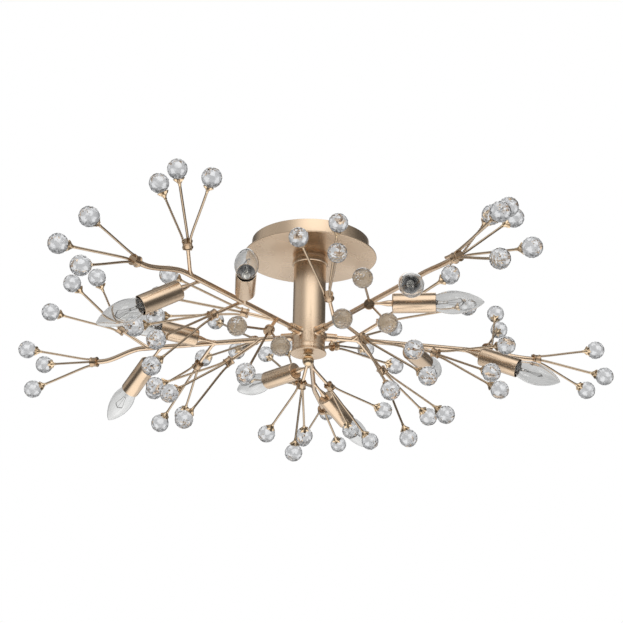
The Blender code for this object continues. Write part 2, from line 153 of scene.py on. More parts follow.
@dataclass
class Field:
    """A number that varies from point to point. It adds, subtracts, multiplies and divides in
    Python as plain numbers do."""

    owner: Nodes
    socket: Socket

    def _maths(self, operation: str, other: Any = 0.0, clamp: bool = False) -> "Field":
        """Add one Math node on this value and another."""
        settings = {"operation": operation, "use_clamp": clamp}
        return Field(self.owner, self.owner.node("ShaderNodeMath", settings, {0: self, 1: other}).outputs[0])

    __add__ = __radd__ = partialmethod(_maths, "ADD")
    __mul__ = __rmul__ = partialmethod(_maths, "MULTIPLY")
    __sub__ = partialmethod(_maths, "SUBTRACT")
    __truediv__ = partialmethod(_maths, "DIVIDE")
    __abs__ = partialmethod(_maths, "ABSOLUTE")
    sine = partialmethod(_maths, "SINE")
    cosine = partialmethod(_maths, "COSINE")
    turn = partialmethod(_maths, "ARCTAN2")

    def __neg__(self) -> "Field":
        """Opposite."""
        return self * -1.0

    def __rsub__(self, other: float) -> "Field":
        """Difference, with this value taken from a number."""
        return -self + other

    def limited(self, low: float, high: float) -> "Field":
        """Stretch the span from low to high over 0 to 1, and cut off what lies outside it."""
        return (self - low)._maths("MULTIPLY", 1.0 / (high - low), clamp=True)

    def eased(self, low: float, high: float) -> "Field":
        """As limited, with a soft start and end. The span may run downwards."""
        value, first, last = (self, low, high) if high > low else (-self, -low, -high)
        sockets = {"Value": value, "From Min": first, "From Max": last}
        made = self.owner.node("ShaderNodeMapRange", {"interpolation_type": "SMOOTHSTEP"}, sockets)
        return Field(self.owner, made.outputs[0])


def as_colour(value: Any) -> Any:
    """A colour of three numbers with its alpha added; anything else as it is."""
    return (*value, 1.0) if isinstance(value, tuple) and len(value) == 3 else value


# ------------------------------------------------------------------------------------- finishes


class MetalTone(Enum):
    """Face colour and shade colour of each metal on the object. The wires' tone is the champagne gold
    darkened as painted shade, for thin wires that reflect little light.
    """

    CHAMPAGNE = ((0.76, 0.585, 0.42), (0.70, 0.53, 0.375))
    POLISHED = ((0.76, 0.59, 0.40), (0.62, 0.46, 0.29))
    COPPERY = ((0.58, 0.42, 0.28), (0.46, 0.32, 0.20))
    # Painted shade: the champagne gold darkened for the thin wires, which are the frame's own gold.
    WIRE = ((0.54, 0.42, 0.30), (0.46, 0.35, 0.24))
    ZINC = ((0.62, 0.63, 0.62), (0.44, 0.45, 0.46))
    NICKEL = ((0.78, 0.76, 0.70), (0.55, 0.53, 0.48))
    TUNGSTEN = ((0.35, 0.34, 0.33), (0.20, 0.20, 0.20))


@dataclass(frozen=True)
class Metal:
    """A plated or plain metal, with cloudy tone, a satin grain and a varying gloss."""

    name: str
    tone: MetalTone
    gloss: float = 0.27
    gloss_spread: float = 0.05
    grain: float = 260.0
    grain_depth: float = 0.00001
    thread_pitch: float = 0.0
    thread_share: float = 12.0

    def material(self) -> Material:
        """Build the metal's material."""
        surface = Surface(self.name)
        face, shade = self.tone.value
        cloud = surface.noise(25.0, 2.0).limited(0.30, 0.75)
        handled = surface.noise(60.0, 1.0).limited(0.58, 0.80)
        colour = surface.mix(cloud * 0.5 + handled * 0.2, face, shade)
        gloss = surface.noise(30.0, 1.0) * (2 * self.gloss_spread) + (self.gloss - self.gloss_spread)
        grain = surface.noise(self.grain, 2.0)
        if self.thread_pitch:
            ridge = surface.node(
                "ShaderNodeTexWave", {"bands_direction": "Z"},
                {"Vector": surface.place(), "Scale": WAVE_UNIT / self.thread_pitch, "Distortion": 0.0},
            )
            grain = Field(surface, ridge.outputs["Fac"]) * self.thread_share + grain
        return surface.finish({
            "Base Color": colour, "Metallic": 1.0, "Roughness": gloss,
            "Normal": surface.bump(grain, 0.5, self.grain_depth),
        })


@dataclass(frozen=True)
class Crystal:
    """Clear cut crystal with faint inner clouding and polished, barely uneven facets."""

    name: str
    density: float = 1.58
    clear: Colour = (0.97, 0.975, 0.985)
    clouded: Colour = (0.86, 0.88, 0.91)

    def material(self) -> Material:
        """Build the crystal's material."""
        surface = Surface(self.name)
        wisps = surface.noise(240.0, 3.0).limited(0.45, 0.8)
        colour = surface.mix(wisps, self.clear, self.clouded)
        polish = surface.noise(900.0, 2.0).limited(0.5, 0.9) * 0.03
        uneven = surface.noise(110.0, 1.0)
        return surface.finish({
            "Base Color": colour, "Roughness": polish, "IOR": self.density, "Transmission Weight": 1.0,
            "Normal": surface.bump(uneven, 0.25, 0.0006),
        })


@dataclass(frozen=True)
class BlownGlass:
    """Thin clear glass of a bulb, a little wavy, with a faint smoky tone in places."""

    name: str
    density: float = 1.47
    clear: Colour = (0.985, 0.985, 0.98)
    smoky: Colour = (0.93, 0.935, 0.93)

    def material(self) -> Material:
        """Build the glass's material."""
        surface = Surface(self.name)
        haze = surface.noise(60.0, 2.0).limited(0.4, 0.9)
        colour = surface.mix(haze, self.clear, self.smoky)
        wave = surface.noise(55.0, 1.0)
        return surface.finish({
            "Base Color": colour, "Roughness": haze * 0.015, "IOR": self.density, "Transmission Weight": 1.0,
            "Normal": surface.bump(wave, 0.3, 0.0006),
        })


@dataclass(frozen=True)
class Moulded:
    """A moulded or fired insulating material, with mottled colour and a fine skin."""

    name: str
    face: Colour
    shade: Colour
    gloss: float

    def material(self) -> Material:
        """Build the material."""
        surface = Surface(self.name)
        mottle = surface.noise(180.0, 4.0).limited(0.35, 0.75)
        gloss = surface.noise(500.0, 3.0) * 0.16 + (self.gloss - 0.08)
        return surface.finish({
            "Base Color": surface.mix(mottle, self.face, self.shade), "Roughness": gloss,
            "Normal": surface.bump(surface.noise(1400.0, 3.0), 0.4, 0.00004),
        })


class Palette:
    """Every finish on the object, made once."""

    def __init__(self) -> None:
        """Make the materials."""
        tone = MetalTone
        self.gold = Metal("satin_champagne_gold", tone.CHAMPAGNE).material()
        self.polished = Metal("polished_gold", tone.POLISHED, gloss=0.17, gloss_spread=0.04).material()
        self.copper = Metal("coppery_gold", tone.COPPERY, gloss=0.24, grain=400.0).material()
        # The wires' material: the frame's gold darkened as painted shade.
        self.wire = Metal("wire_gold", tone.WIRE, gloss=0.22, gloss_spread=0.04).material()
        self.zinc = Metal("zinc_plate", tone.ZINC, 0.38, 0.10, 900.0, grain_depth=0.00004).material()
        self.thread = Metal(
            "threaded_zinc", tone.ZINC, 0.36, 0.08, 900.0, grain_depth=0.0004, thread_pitch=0.001
        ).material()
        self.nickel = Metal("nickel_cap", tone.NICKEL, gloss=0.24, gloss_spread=0.07).material()
        self.tungsten = Metal("filament_wire", tone.TUNGSTEN, gloss=0.40).material()
        self.crystal = Crystal("cut_crystal").material()
        self.bulb_glass = BlownGlass("clear_bulb_glass").material()
        self.holder = Moulded(
            "black_holder", face=(0.025, 0.024, 0.023), shade=(0.05, 0.047, 0.044), gloss=0.45
        ).material()
        self.ceramic = Moulded(
            "white_ceramic", face=(0.86, 0.85, 0.81), shade=(0.74, 0.72, 0.67), gloss=0.30
        ).material()


# ---------------------------------------------------------------------------------- mesh helpers


def rounded(corners: Iterable[tuple[float, float, float]], steps: int = 4) -> Outline:
    """Outline through corners that are each rounded off.

    Args:
        corners: radius, height and rounding of each corner.
        steps: points along each rounding.

    Returns:
        The outline's points.
    """
    spots = [(Vector((radius, height)), ease) for radius, height, ease in corners]
    outline: Outline = []
    for index, (spot, ease) in enumerate(spots):
        if ease <= 0 or index in (0, len(spots) - 1):
            outline.append(tuple(spot))
            continue
        before = spot + (spots[index - 1][0] - spot).normalized() * ease
        after = spot + (spots[index + 1][0] - spot).normalized() * ease
        for step in range(steps + 1):
            share = step / steps
            outline.append(tuple(before.lerp(spot, share).lerp(spot.lerp(after, share), share)))
    return outline


def plain(shape: bmesh.types.BMesh, name: str) -> Mesh:
    """Mesh of a shape, which is freed."""
    mesh = bpy.data.meshes.new(name)
    shape.to_mesh(mesh)
    shape.free()
    return mesh


def linked(name: str, data: Any) -> Object:
    """New object of the given data, put in the scene."""
    made = bpy.data.objects.new(name, data)
    bpy.context.scene.collection.objects.link(made)
    return made


def softened(mesh: Mesh, sharp: float = 35.0) -> Mesh:
    """Shade a mesh smooth, except at edges that turn by more than an angle in degrees."""
    mesh.shade_smooth()
    mesh.set_sharp_from_angle(angle=math.radians(sharp))
    return mesh


def settle(shape: bmesh.types.BMesh, name: str) -> Mesh:
    """Merge a shape's doubles and turn its faces outwards."""
    bmesh.ops.remove_doubles(shape, verts=shape.verts, dist=2e-6)
    bmesh.ops.recalc_face_normals(shape, faces=shape.faces)
    return plain(shape, name)


def turned(name: str, outline: Outline, steps: int = 64, sharp: float = 35.0,
           scallop: Callable[[float, float], float] | None = None) -> Mesh:
    """Turn an outline once around Z.

    Args:
        name: the mesh's name.
        outline: radius and height of each point. It closes on itself or ends on the axis.
        steps: facets around.
        sharp: angle in degrees above which an edge is shaded sharp.
        scallop: factor on a point's radius, from its share along the outline and its angle.

    Returns:
        The closed mesh.
    """
    shape = bmesh.new()
    rings = []
    for index, (radius, height) in enumerate(outline):
        ring = []
        for step in range(steps):
            angle = TAU * step / steps
            reach = radius * (scallop(index / (len(outline) - 1), angle) if scallop else 1.0)
            ring.append(shape.verts.new((reach * math.cos(angle), reach * math.sin(angle), height)))
        rings.append(ring)
    closed = outline[0][0] > 1e-6 or outline[-1][0] > 1e-6
    pairs = list(zip(rings, rings[1:])) + ([(rings[-1], rings[0])] if closed else [])
    for ring, following in pairs:
        for step in range(steps):
            after = (step + 1) % steps
            shape.faces.new((ring[step], ring[after], following[after], following[step]))
    bmesh.ops.dissolve_degenerate(shape, edges=shape.edges, dist=1e-7)
    return softened(settle(shape, name), sharp)


def stood(aim: Vector, origin: Vector) -> Matrix:
    """Matrix that stands a shape's Z axis along aim at an origin."""
    upright = aim.normalized()
    across = upright.orthogonal()
    across = (across - upright * across.dot(upright)).normalized()
    turn = Matrix((across, upright.cross(across), upright)).transposed().to_4x4()
    return Matrix.Translation(origin) @ turn


def moved(mesh: Mesh, matrix: Matrix) -> Mesh:
    """The same mesh after a move."""
    mesh.transform(matrix)
    return mesh


def joined(name: str, meshes: Iterable[Mesh]) -> Mesh:
    """One mesh that holds several, which are removed."""
    shape = bmesh.new()
    for mesh in meshes:
        shape.from_mesh(mesh)
        bpy.data.meshes.remove(mesh)
    return plain(shape, name)


def trimmed(mesh: Mesh, cutter: Mesh) -> Mesh:
    """A mesh with another closed shape cut out of it by an exact Boolean."""
    body, tool = linked("cut_body", mesh), linked("cutter", cutter)
    change = body.modifiers.new("cut", "BOOLEAN")
    change.operation = "DIFFERENCE"
    change.solver = "EXACT"
    change.object = tool
    result = baked(body)
    bpy.data.objects.remove(tool)
    return softened(result)


def baked(obj: Object) -> Mesh:
    """Plain mesh of an object with its modifiers applied. The object is removed."""
    bpy.context.view_layer.update()
    graph = bpy.context.evaluated_depsgraph_get()
    mesh = bpy.data.meshes.new_from_object(obj.evaluated_get(graph))
    bpy.data.objects.remove(obj)
    return mesh


def heights(node: str) -> tuple[float, float]:
    """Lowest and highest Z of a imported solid."""
    low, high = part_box(node)
    return low.z, high.z


def fitted(name: str, mesh: Mesh, finish: Material, body: str, slot: str, *nodes: str) -> Object:
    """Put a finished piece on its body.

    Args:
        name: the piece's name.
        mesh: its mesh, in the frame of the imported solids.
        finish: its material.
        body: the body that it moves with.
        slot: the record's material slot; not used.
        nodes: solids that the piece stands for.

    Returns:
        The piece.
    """
    mesh.materials.clear()
    mesh.materials.append(finish)
    piece = linked(name, mesh)
    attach(piece, body)
    if nodes:
        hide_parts(*nodes)
    LOG.info("%s on %s: %d faces", name, body, len(mesh.polygons))
    return piece


# -------------------------------------------------------------------------------- Geometry Nodes


class Recipe(Nodes):
    """A Geometry Nodes tree with named inputs, built step by step."""

    def __init__(self, name: str, inputs: dict[str, tuple[str, Any]]) -> None:
        """Start a tree.

        Args:
            name: the tree's name.
            inputs: for each named input after the geometry, its socket type and default.
        """
        super().__init__(bpy.data.node_groups.new(name, "GeometryNodeTree"))
        interface = self.tree.interface
        interface.new_socket("Geometry", in_out="INPUT", socket_type="NodeSocketGeometry")
        self.keys: dict[str, str] = {}
        for title, (kind, default) in inputs.items():
            made = interface.new_socket(title, in_out="INPUT", socket_type=kind)
            if default is not None:
                made.default_value = default
            self.keys[title] = made.identifier
        interface.new_socket("Geometry", in_out="OUTPUT", socket_type="NodeSocketGeometry")
        self.start = self.node("NodeGroupInput")

    def given(self, title: str) -> Field:
        """A named input."""
        return Field(self, self.start.outputs[title])

    def attribute(self, name: str, kind: str) -> Socket:
        """The value of a named attribute of the points."""
        made = self.node("GeometryNodeInputNamedAttribute", {"data_type": kind}, {"Name": name})
        return made.outputs["Attribute"]

    def vector(self, operation: str, first: Any, second: Any) -> Socket:
        """One Vector Math node, whose second input is a number for SCALE."""
        sockets = {0: first, "Scale" if operation == "SCALE" else 1: second}
        return self.node("ShaderNodeVectorMath", {"operation": operation}, sockets).outputs[0]

    def path(self) -> Socket:
        """The seed's edges as curves."""
        return self.node("GeometryNodeMeshToCurve", sockets={"Mesh": self.given("Geometry")}).outputs[0]

    def skin(self, path: Socket, radius: Any, **scale: Socket) -> Socket:
        """Closed round tube along a curve.

        Args:
            path: the curve.
            radius: the tube's radius.
            scale: "Scale", a factor on the radius at each point, where it varies.

        Returns:
            The tube's mesh.
        """
        ring = self.node(
            "GeometryNodeCurvePrimitiveCircle", sockets={"Radius": radius, "Resolution": self.given("Sides")}
        )
        return self.node("GeometryNodeCurveToMesh", sockets={
            "Curve": path, "Profile Curve": ring.outputs[0], "Fill Caps": True, **scale,
        }).outputs[0]

    def close(self, geometry: Socket) -> None:
        """End the tree: realise what it made, give it its finish, and hand it out."""
        real = self.node("GeometryNodeRealizeInstances", sockets={0: geometry})
        sockets = {"Geometry": real.outputs[0], "Material": self.given("Finish")}
        dressed = self.node("GeometryNodeSetMaterial", sockets=sockets)
        self.node("NodeGroupOutput", sockets={0: dressed.outputs[0]})

    def grow(self, name: str, seed: Mesh, values: dict[str, Any]) -> Mesh:
        """Run the tree on a seed mesh.

        Args:
            name: name of the result.
            seed: mesh of paths or points, which is removed.
            values: the named inputs' values.

        Returns:
            The plain mesh that the tree makes.
        """
        host = linked(name, seed)
        change = host.modifiers.new("grow", "NODES")
        change.node_group = self.tree
        for title, value in values.items():
            change[self.keys[title]] = value
        mesh = baked(host)
        bpy.data.meshes.remove(seed)
        mesh.name = name
        return mesh


class TubeRecipe(Recipe):
    """Round tubes along paths, whose radius follows the attribute "girth"."""

    def __init__(self) -> None:
        """Build the tree."""
        super().__init__("tube_along_path", {
            "Sides": ("NodeSocketInt", 16), "Finish": ("NodeSocketMaterial", None),
        })
        self.close(self.skin(self.path(), 1.0, Scale=self.attribute("girth", "FLOAT")))


class RopeRecipe(Recipe):
    """Two strands that wind around each path, as a twisted pair of wires."""

    def __init__(self) -> None:
        """Build the tree."""
        super().__init__("twisted_pair", {
            "Strand": ("NodeSocketFloat", 0.0007), "Lay": ("NodeSocketFloat", 0.006),
            "Sides": ("NodeSocketInt", 7), "Finish": ("NodeSocketMaterial", None),
        })
        lay, strand = self.given("Lay"), self.given("Strand")
        sockets = {"Curve": self.path(), "Length": lay / 8.0}
        fine = self.node("GeometryNodeResampleCurve", {"mode": "LENGTH"}, sockets).outputs[0]
        along = Field(self, self.node("GeometryNodeSplineParameter").outputs["Length"])
        turn = along / lay * TAU
        normal = self.node("GeometryNodeInputNormal").outputs[0]
        tangent = self.node("GeometryNodeInputTangent").outputs[0]
        across = self.vector("CROSS_PRODUCT", tangent, normal)
        both = self.node("GeometryNodeJoinGeometry")
        for phase in (0.0, math.pi):
            angle = turn + phase
            first = self.vector("SCALE", normal, angle.cosine())
            second = self.vector("SCALE", across, angle.sine())
            aside = self.vector("ADD", first, second)
            wound = self.node("GeometryNodeSetPosition", sockets={
                "Geometry": fine, "Offset": self.vector("SCALE", aside, strand),
            })
            self.tree.links.new(self.skin(wound.outputs[0], strand), both.inputs[0])
        self.close(both.outputs[0])


class ScatterRecipe(Recipe):
    """Copies of a pattern object on points, with Z along "aim" and X near "side"."""

    def __init__(self) -> None:
        """Build the tree."""
        super().__init__("set_on_points", {
            "Pattern": ("NodeSocketObject", None), "Finish": ("NodeSocketMaterial", None),
        })
        pattern = self.node("GeometryNodeObjectInfo", sockets={"Object": self.given("Pattern")})
        turn = self.node("FunctionNodeAxesToRotation", {"primary_axis": "Z", "secondary_axis": "X"}, {
            "Primary Axis": self.attribute("aim", "FLOAT_VECTOR"),
            "Secondary Axis": self.attribute("side", "FLOAT_VECTOR"),
        })
        spots = self.node("GeometryNodeMeshToPoints", sockets={"Mesh": self.given("Geometry")})
        copies = self.node("GeometryNodeInstanceOnPoints", sockets={
            "Points": spots.outputs[0], "Instance": pattern.outputs["Geometry"],
            "Rotation": turn.outputs[0],
        })
        self.close(copies.outputs[0])


@dataclass(frozen=True)
class Perch:
    """Where a copy of a pattern stands: its origin, its Z direction and its X side."""

    origin: Vector
    aim: Vector
    side: Vector

    def placed(self, matrix: Matrix) -> "Perch":
        """The same perch after a move."""
        turn = matrix.to_3x3()
        return Perch(matrix @ self.origin, turn @ self.aim, turn @ self.side)


@dataclass(frozen=True)
class Run:
    """A path with a radius at each of its points."""

    points: tuple[Vector, ...]
    girths: tuple[float, ...]

    @classmethod
    def even(cls, points: Sequence[Vector], girth: float) -> "Run":
        """A path of one radius throughout."""
        return cls(tuple(points), (girth,) * len(points))

    def placed(self, matrix: Matrix) -> "Run":
        """The same path after a move."""
        return Run(tuple(matrix @ point for point in self.points), self.girths)


def path_mesh(runs: Sequence[Run]) -> Mesh:
    """Seed mesh of several paths, with their radii in the attribute "girth"."""
    points, edges, girths = [], [], []
    for run in runs:
        first = len(points)
        points.extend(run.points)
        girths.extend(run.girths)
        edges.extend((first + i, first + i + 1) for i in range(len(run.points) - 1))
    mesh = bpy.data.meshes.new("paths")
    mesh.from_pydata(points, edges, [])
    mesh.attributes.new("girth", "FLOAT", "POINT").data.foreach_set("value", girths)
    return mesh


def perch_mesh(perches: Sequence[Perch]) -> Mesh:
    """Seed mesh of points, with their directions in the attributes "aim" and "side"."""
    mesh = bpy.data.meshes.new("perches")
    mesh.from_pydata([perch.origin for perch in perches], [], [])
    for title in ("aim", "side"):
        flat = [part for perch in perches for part in getattr(perch, title)]
        mesh.attributes.new(title, "FLOAT_VECTOR", "POINT").data.foreach_set("vector", flat)
    return mesh


@dataclass
class Workshop:
    """The Geometry Nodes recipes and short calls that use them."""

    tubes: TubeRecipe = field(default_factory=TubeRecipe)
    ropes: RopeRecipe = field(default_factory=RopeRecipe)
    scatter: ScatterRecipe = field(default_factory=ScatterRecipe)

    def tube(self, name: str, runs: Sequence[Run], finish: Material, sides: int = 16) -> Mesh:
        """Round tubes along paths, shaded smooth."""
        mesh = self.tubes.grow(name, path_mesh(runs), {"Sides": sides, "Finish": finish})
        return softened(mesh, 50.0)

    def rope(self, name: str, runs: Sequence[Run], finish: Material, strand: float, lay: float) -> Mesh:
        """Twisted pairs along paths, shaded smooth."""
        mesh = self.ropes.grow(name, path_mesh(runs), {"Strand": strand, "Lay": lay, "Finish": finish})
        mesh.shade_smooth()
        return mesh

    def fit(self, name: str, pattern: Mesh, perches: Sequence[Perch], finish: Material, body: str,
            slot: str, *nodes: str) -> None:
        """Make copies of a pattern on perches into one piece.

        Args:
            name: the piece's name.
            pattern: the pattern, along Z.
            perches: where the copies stand.
            finish: the piece's material.
            body: the body that it moves with.
            slot: the record's material slot.
            nodes: solids that the piece stands for.
        """
        fitted(name, self.copies(name, pattern, perches, finish), finish, body, slot, *nodes)

    def copies(self, name: str, pattern: Mesh, perches: Sequence[Perch], finish: Material) -> Mesh:
        """Copies of a pattern on perches, as one mesh."""
        model = linked("pattern", pattern)
        mesh = self.scatter.grow(name, perch_mesh(perches), {"Pattern": model, "Finish": finish})
        bpy.data.objects.remove(model)
        return mesh


# ------------------------------------------------------------------------------- the arm's layout


class WireStyle(Enum):
    """How a spray's wire is made: one plain wire, a heavier one, or a twisted pair."""

    PLAIN = 0.0018
    HEAVY = 0.0020
    TWISTED = 0.00095


class LampKind(Enum):
    """The two lamps on an arm."""

    INNER = "inner"
    OUTER = "outer"


def heading(yaw: float, pitch: float) -> Vector:
    """Unit vector along X, turned left by yaw and then lifted by pitch, in degrees."""
    yaw, pitch = math.radians(yaw), math.radians(pitch)
    flat = math.cos(pitch)
    return Vector((flat * math.cos(yaw), flat * math.sin(yaw), math.sin(pitch)))


@dataclass(frozen=True)
class Spray:
    """One spray: a twig off the arm, a crimp, and three wires with a crystal ball each.

    A run is its length and then its yaw and pitch. The tip's spray has no twig: its crimp sits on
    the arm tube's own end. The fan of wires is turned about the twig by its own angle on each arm.
    """

    name: str
    station: float
    twig: tuple[float, float, float] | None
    wires: tuple[tuple[float, float, float], ...]
    styles: tuple[WireStyle, ...]
    turns: tuple[float, ...]

    def runs(self, number: int, aim: Vector) -> list[tuple[float, Vector]]:
        """Length and direction of each wire on the arm of the given number.

        Args:
            number: the arm, from 1.
            aim: the way the twig points.

        Returns:
            A length and a unit vector for each wire.
        """
        fan = Matrix.Rotation(math.radians(self.turns[number - 1]), 3, aim)
        return [(length, fan @ heading(yaw, pitch)) for length, yaw, pitch in self.wires]


@dataclass
class ArmLayout:
    """Sizes of an arm and where its branches leave it, in the arm's frame."""

    column_radius: float = 0.0255
    collar_reach: float = 0.045
    collar_drop: float = 0.157
    root: float = 0.020
    reach: float = 0.378
    bend_length: float = 0.078
    bend_side: float = -0.012
    bend_drop: float = -0.012
    tip_straight: float = 0.015
    tube_radius: float = 0.004
    twig_radius: float = 0.0027
    crimp_grip: float = 0.008
    crimp_length: float = 0.014
    wire_ring: float = 0.0056
    tip_wire_ring: float = 0.0062
    twist_length: float = 0.0065
    crystal_radius: float = 0.015
    crystal_inset: float = 0.0005
    stem_length: float = 0.036
    rise: float = 1.75
    first_azimuth: float = 90.0
    rolls: tuple[float, ...] = (-2.0, 5.0, 11.0, -2.0, -5.0)

    def __post_init__(self) -> None:
        """Work out the branches' stations and list the sprays and lamps."""
        plain, heavy, twisted = WireStyle.PLAIN, WireStyle.HEAVY, WireStyle.TWISTED
        bend = self.bend_start
        self.sprays = (
            Spray("hub", self.collar_reach + 0.025, (0.058, -45, 18),
                  ((0.134, -35, -1), (0.135, -55, 18), (0.128, -25, 26)),
                  (plain, heavy, plain), (-36, 19, -16, 18, 14)),
            Spray("low", self.collar_reach + 0.035, (0.064, 20, -42),
                  ((0.119, 4, -25), (0.112, 10, -60), (0.116, 41, -33)),
                  (plain, plain, plain), (12, -24, -25, -4, 40)),
            Spray("side", self.collar_reach + 0.115, (0.054, -37, -27),
                  ((0.114, -42, -6), (0.115, -19, -35), (0.117, -57, -34)),
                  (plain, plain, plain), (35, -37, 10, -4, -4)),
            Spray("high", bend - 0.010, (0.054, 39, 24),
                  ((0.093, 22, 57), (0.114, 59, 14), (0.108, 44, 41)),
                  (twisted, plain, heavy), (0, -68, 20, 69, -20)),
            Spray("tip", self.reach, None,
                  ((0.108, -3, 13), (0.110, -15, -20), (0.110, 21, -14)),
                  (plain, heavy, plain), (1, 47, -63, 21, -7)),
        )
        self.lamp_aims = {
            LampKind.INNER: (self.collar_reach + 0.110, ((50, -2), (48, -2), (41, -5), (50, 0), (50, 4))),
            LampKind.OUTER: (bend - 0.033, ((-39, -30), (-34, -30), (-38, -26), (-35, -27), (-33, -28))),
        }

    def lamps(self, number: int) -> dict[LampKind, tuple[float, Vector]]:
        """Station and direction of each lamp on the arm of the given number."""
        return {
            kind: (station, heading(*aims[number - 1]))
            for kind, (station, aims) in self.lamp_aims.items()
        }

    @property
    def bend_start(self) -> float:
        """Where the tube's S-bend starts."""
        return self.reach - self.tip_straight - self.bend_length

    def matrix(self, number: int) -> Matrix:
        """Matrix of an arm's frame; the first arm is number 1."""
        azimuth = math.radians(self.first_azimuth + 360 / ARMS * (number - 1))
        turn = Matrix.Rotation(azimuth, 4, "Z") @ Matrix.Rotation(-math.radians(self.rise), 4, "Y")
        roll = Matrix.Rotation(math.radians(self.rolls[number - 1]), 4, "X")
        return Matrix.Translation((0, 0, -self.collar_drop)) @ turn @ roll

    def tube_path(self, steps: int = 20) -> list[Vector]:
        """Centre line of the arm tube."""
        points = [Vector((self.root, 0, 0))]
        for step in range(steps + 1):
            along = step / steps
            ease = along * along * (3 - 2 * along)
            points.append(Vector((
                self.bend_start + self.bend_length * along, self.bend_side * ease, self.bend_drop * ease
            )))
        points.append(Vector((self.reach + 0.004, self.bend_side, self.bend_drop)))
        return points

    def crimp_seat(self, spray: Spray) -> tuple[Vector, Vector]:
        """Where a spray's crimp starts, and the way it points."""
        if spray.twig is None:
            seat = Vector((self.reach - self.crimp_grip, self.bend_side, self.bend_drop))
            return seat, Vector((1, 0, 0))
        length, yaw, pitch = spray.twig
        aim = heading(yaw, pitch)
        return Vector((spray.station, 0, 0)) + aim * (length - self.crimp_grip), aim


# ----------------------------------------------------------------------------------- the patterns


@dataclass(frozen=True)
class CrystalBall:
    """A ball cut in staggered rows of facets."""

    radius: float
    around: int = 16
    rows: int = 9

    def mesh(self) -> Mesh:
        """Hull of points on staggered rings, with a small table at each pole."""
        shape = bmesh.new()
        for row in range(self.rows):
            polar = math.pi * (row + 0.55) / (self.rows + 0.1)
            count = self.around if 1 < row < self.rows - 2 else self.around * 3 // 4
            if row in (0, self.rows - 1):
                count = self.around // 2
            for step in range(count):
                angle = TAU * (step + 0.5 * (row % 2)) / count
                shape.verts.new((
                    self.radius * math.sin(polar) * math.cos(angle),
                    self.radius * math.sin(polar) * math.sin(angle),
                    self.radius * math.cos(polar),
                ))
        bmesh.ops.convex_hull(shape, input=shape.verts)
        return settle(shape, "crystal_ball")


@dataclass(frozen=True)
class PetalCap:
    """The small flower-shaped cap that holds a ball on its wire, with its foot below Z = 0."""

    ball_radius: float
    reach: float = 0.0070
    neck: float = 0.0022
    length: float = 0.0098
    wall: float = 0.0005
    petals: int = 6
    wave: float = 0.28
    rim_from_end: int = 3
    rim_width: float = 3.5

    def mesh(self) -> Mesh:
        """Thin scalloped cup that hugs the ball."""
        reach, neck, foot = self.reach, self.neck, -self.length
        sink = self.ball_radius - math.sqrt(self.ball_radius**2 - reach**2)
        outline = rounded([
            (0.0, foot, 0), (neck, foot, 0.0006), (neck, foot * 0.66, 0.001), (reach * 0.72, -0.0026, 0.001),
            (reach, sink - 0.0004, 0.0), (reach - self.wall, sink + 0.0002, 0.0),
            (reach * 0.55, 0.0002, 0.0), (0.0, -0.0004, 0),
        ], 3)
        edge = len(outline) - 1

        def scallop(share: float, angle: float) -> float:
            """Wave the rim and leave the neck round."""
            rim = max(0.0, 1 - abs(share * edge - (edge - self.rim_from_end)) / self.rim_width)
            return 1 + self.wave * rim * math.cos(self.petals * angle)

        return turned("petal_cap", outline, 24, 40.0, scallop)


@dataclass(frozen=True)
class Crimp:
    """The band that binds three wires to a twig's end, along Z from its seat."""

    radius: float
    length: float
    wall: float = 0.0006
    bore: float = 0.0005
    roll: float = 0.0005
    pinch: float = 0.93
    start: float = 0.06
    end: float = 0.88

    def mesh(self) -> Mesh:
        """Band with rolled lips and a pinched waist."""
        low, high = self.length * self.start, self.length * self.end
        waist, lip, inner = self.radius * self.pinch, self.radius + self.roll, self.radius - self.wall
        outline = rounded([
            (self.bore, low, 0), (inner, low, 0.0003),
            (lip, low + 0.0002, 0.0004), (lip, low + 0.0013, 0.0004), (waist, low + 0.0024, 0.001), (waist, high - 0.0024, 0.001), (lip, high - 0.0013, 0.0004),
            (lip, high - 0.0002, 0.0004), (inner, high, 0.0003), (self.bore, high, 0),
        ], 3)
        return turned("crimp", outline, 20, 40.0)


@dataclass(frozen=True)
class LampCup:
    """A lamp's metal cup along Z, open at its mouth, with a rounded closed back."""

    radius: float = 0.015
    length: float = 0.064
    wall: float = 0.001
    back: float = 0.0016
    back_edge: float = 0.0028
    bore: float = 0.0032

    def mesh(self) -> Mesh:
        """Shell with a thin softened lip."""
        inner = self.radius - self.wall
        outline = rounded([
            (self.bore, 0.0, 0), (self.radius, 0.0, self.back_edge), (self.radius, self.length, 0.0003),
            (inner, self.length, 0.0003), (inner, self.back, self.back_edge), (self.bore, self.back, 0),
        ], 6)
        return turned("lamp_cup", outline, 56)


@dataclass(frozen=True)
class Lampholder:
    """The insulating holder inside a cup, with its mouth a little below the cup's."""

    radius: float = 0.0118
    bore: float = 0.0079
    start: float = 0.006
    mouth: float = 0.0545
    depth: float = 0.024

    def mesh(self) -> Mesh:
        """Stepped tube with a blind bore."""
        narrow, deep = self.radius * 0.72, self.mouth - self.depth
        outline = rounded([
            (0.0, self.start, 0), (narrow, self.start, 0.001), (narrow, 0.016, 0.0),
            (self.radius, 0.019, 0.001),
            (self.radius, self.mouth, 0.001), (self.bore, self.mouth, 0.0008), (self.bore, deep, 0.0005),
            (0.0, deep, 0),
        ])
        return turned("lampholder", outline, 40)


# --------------------------------------------------------------------------------- sub-assemblies


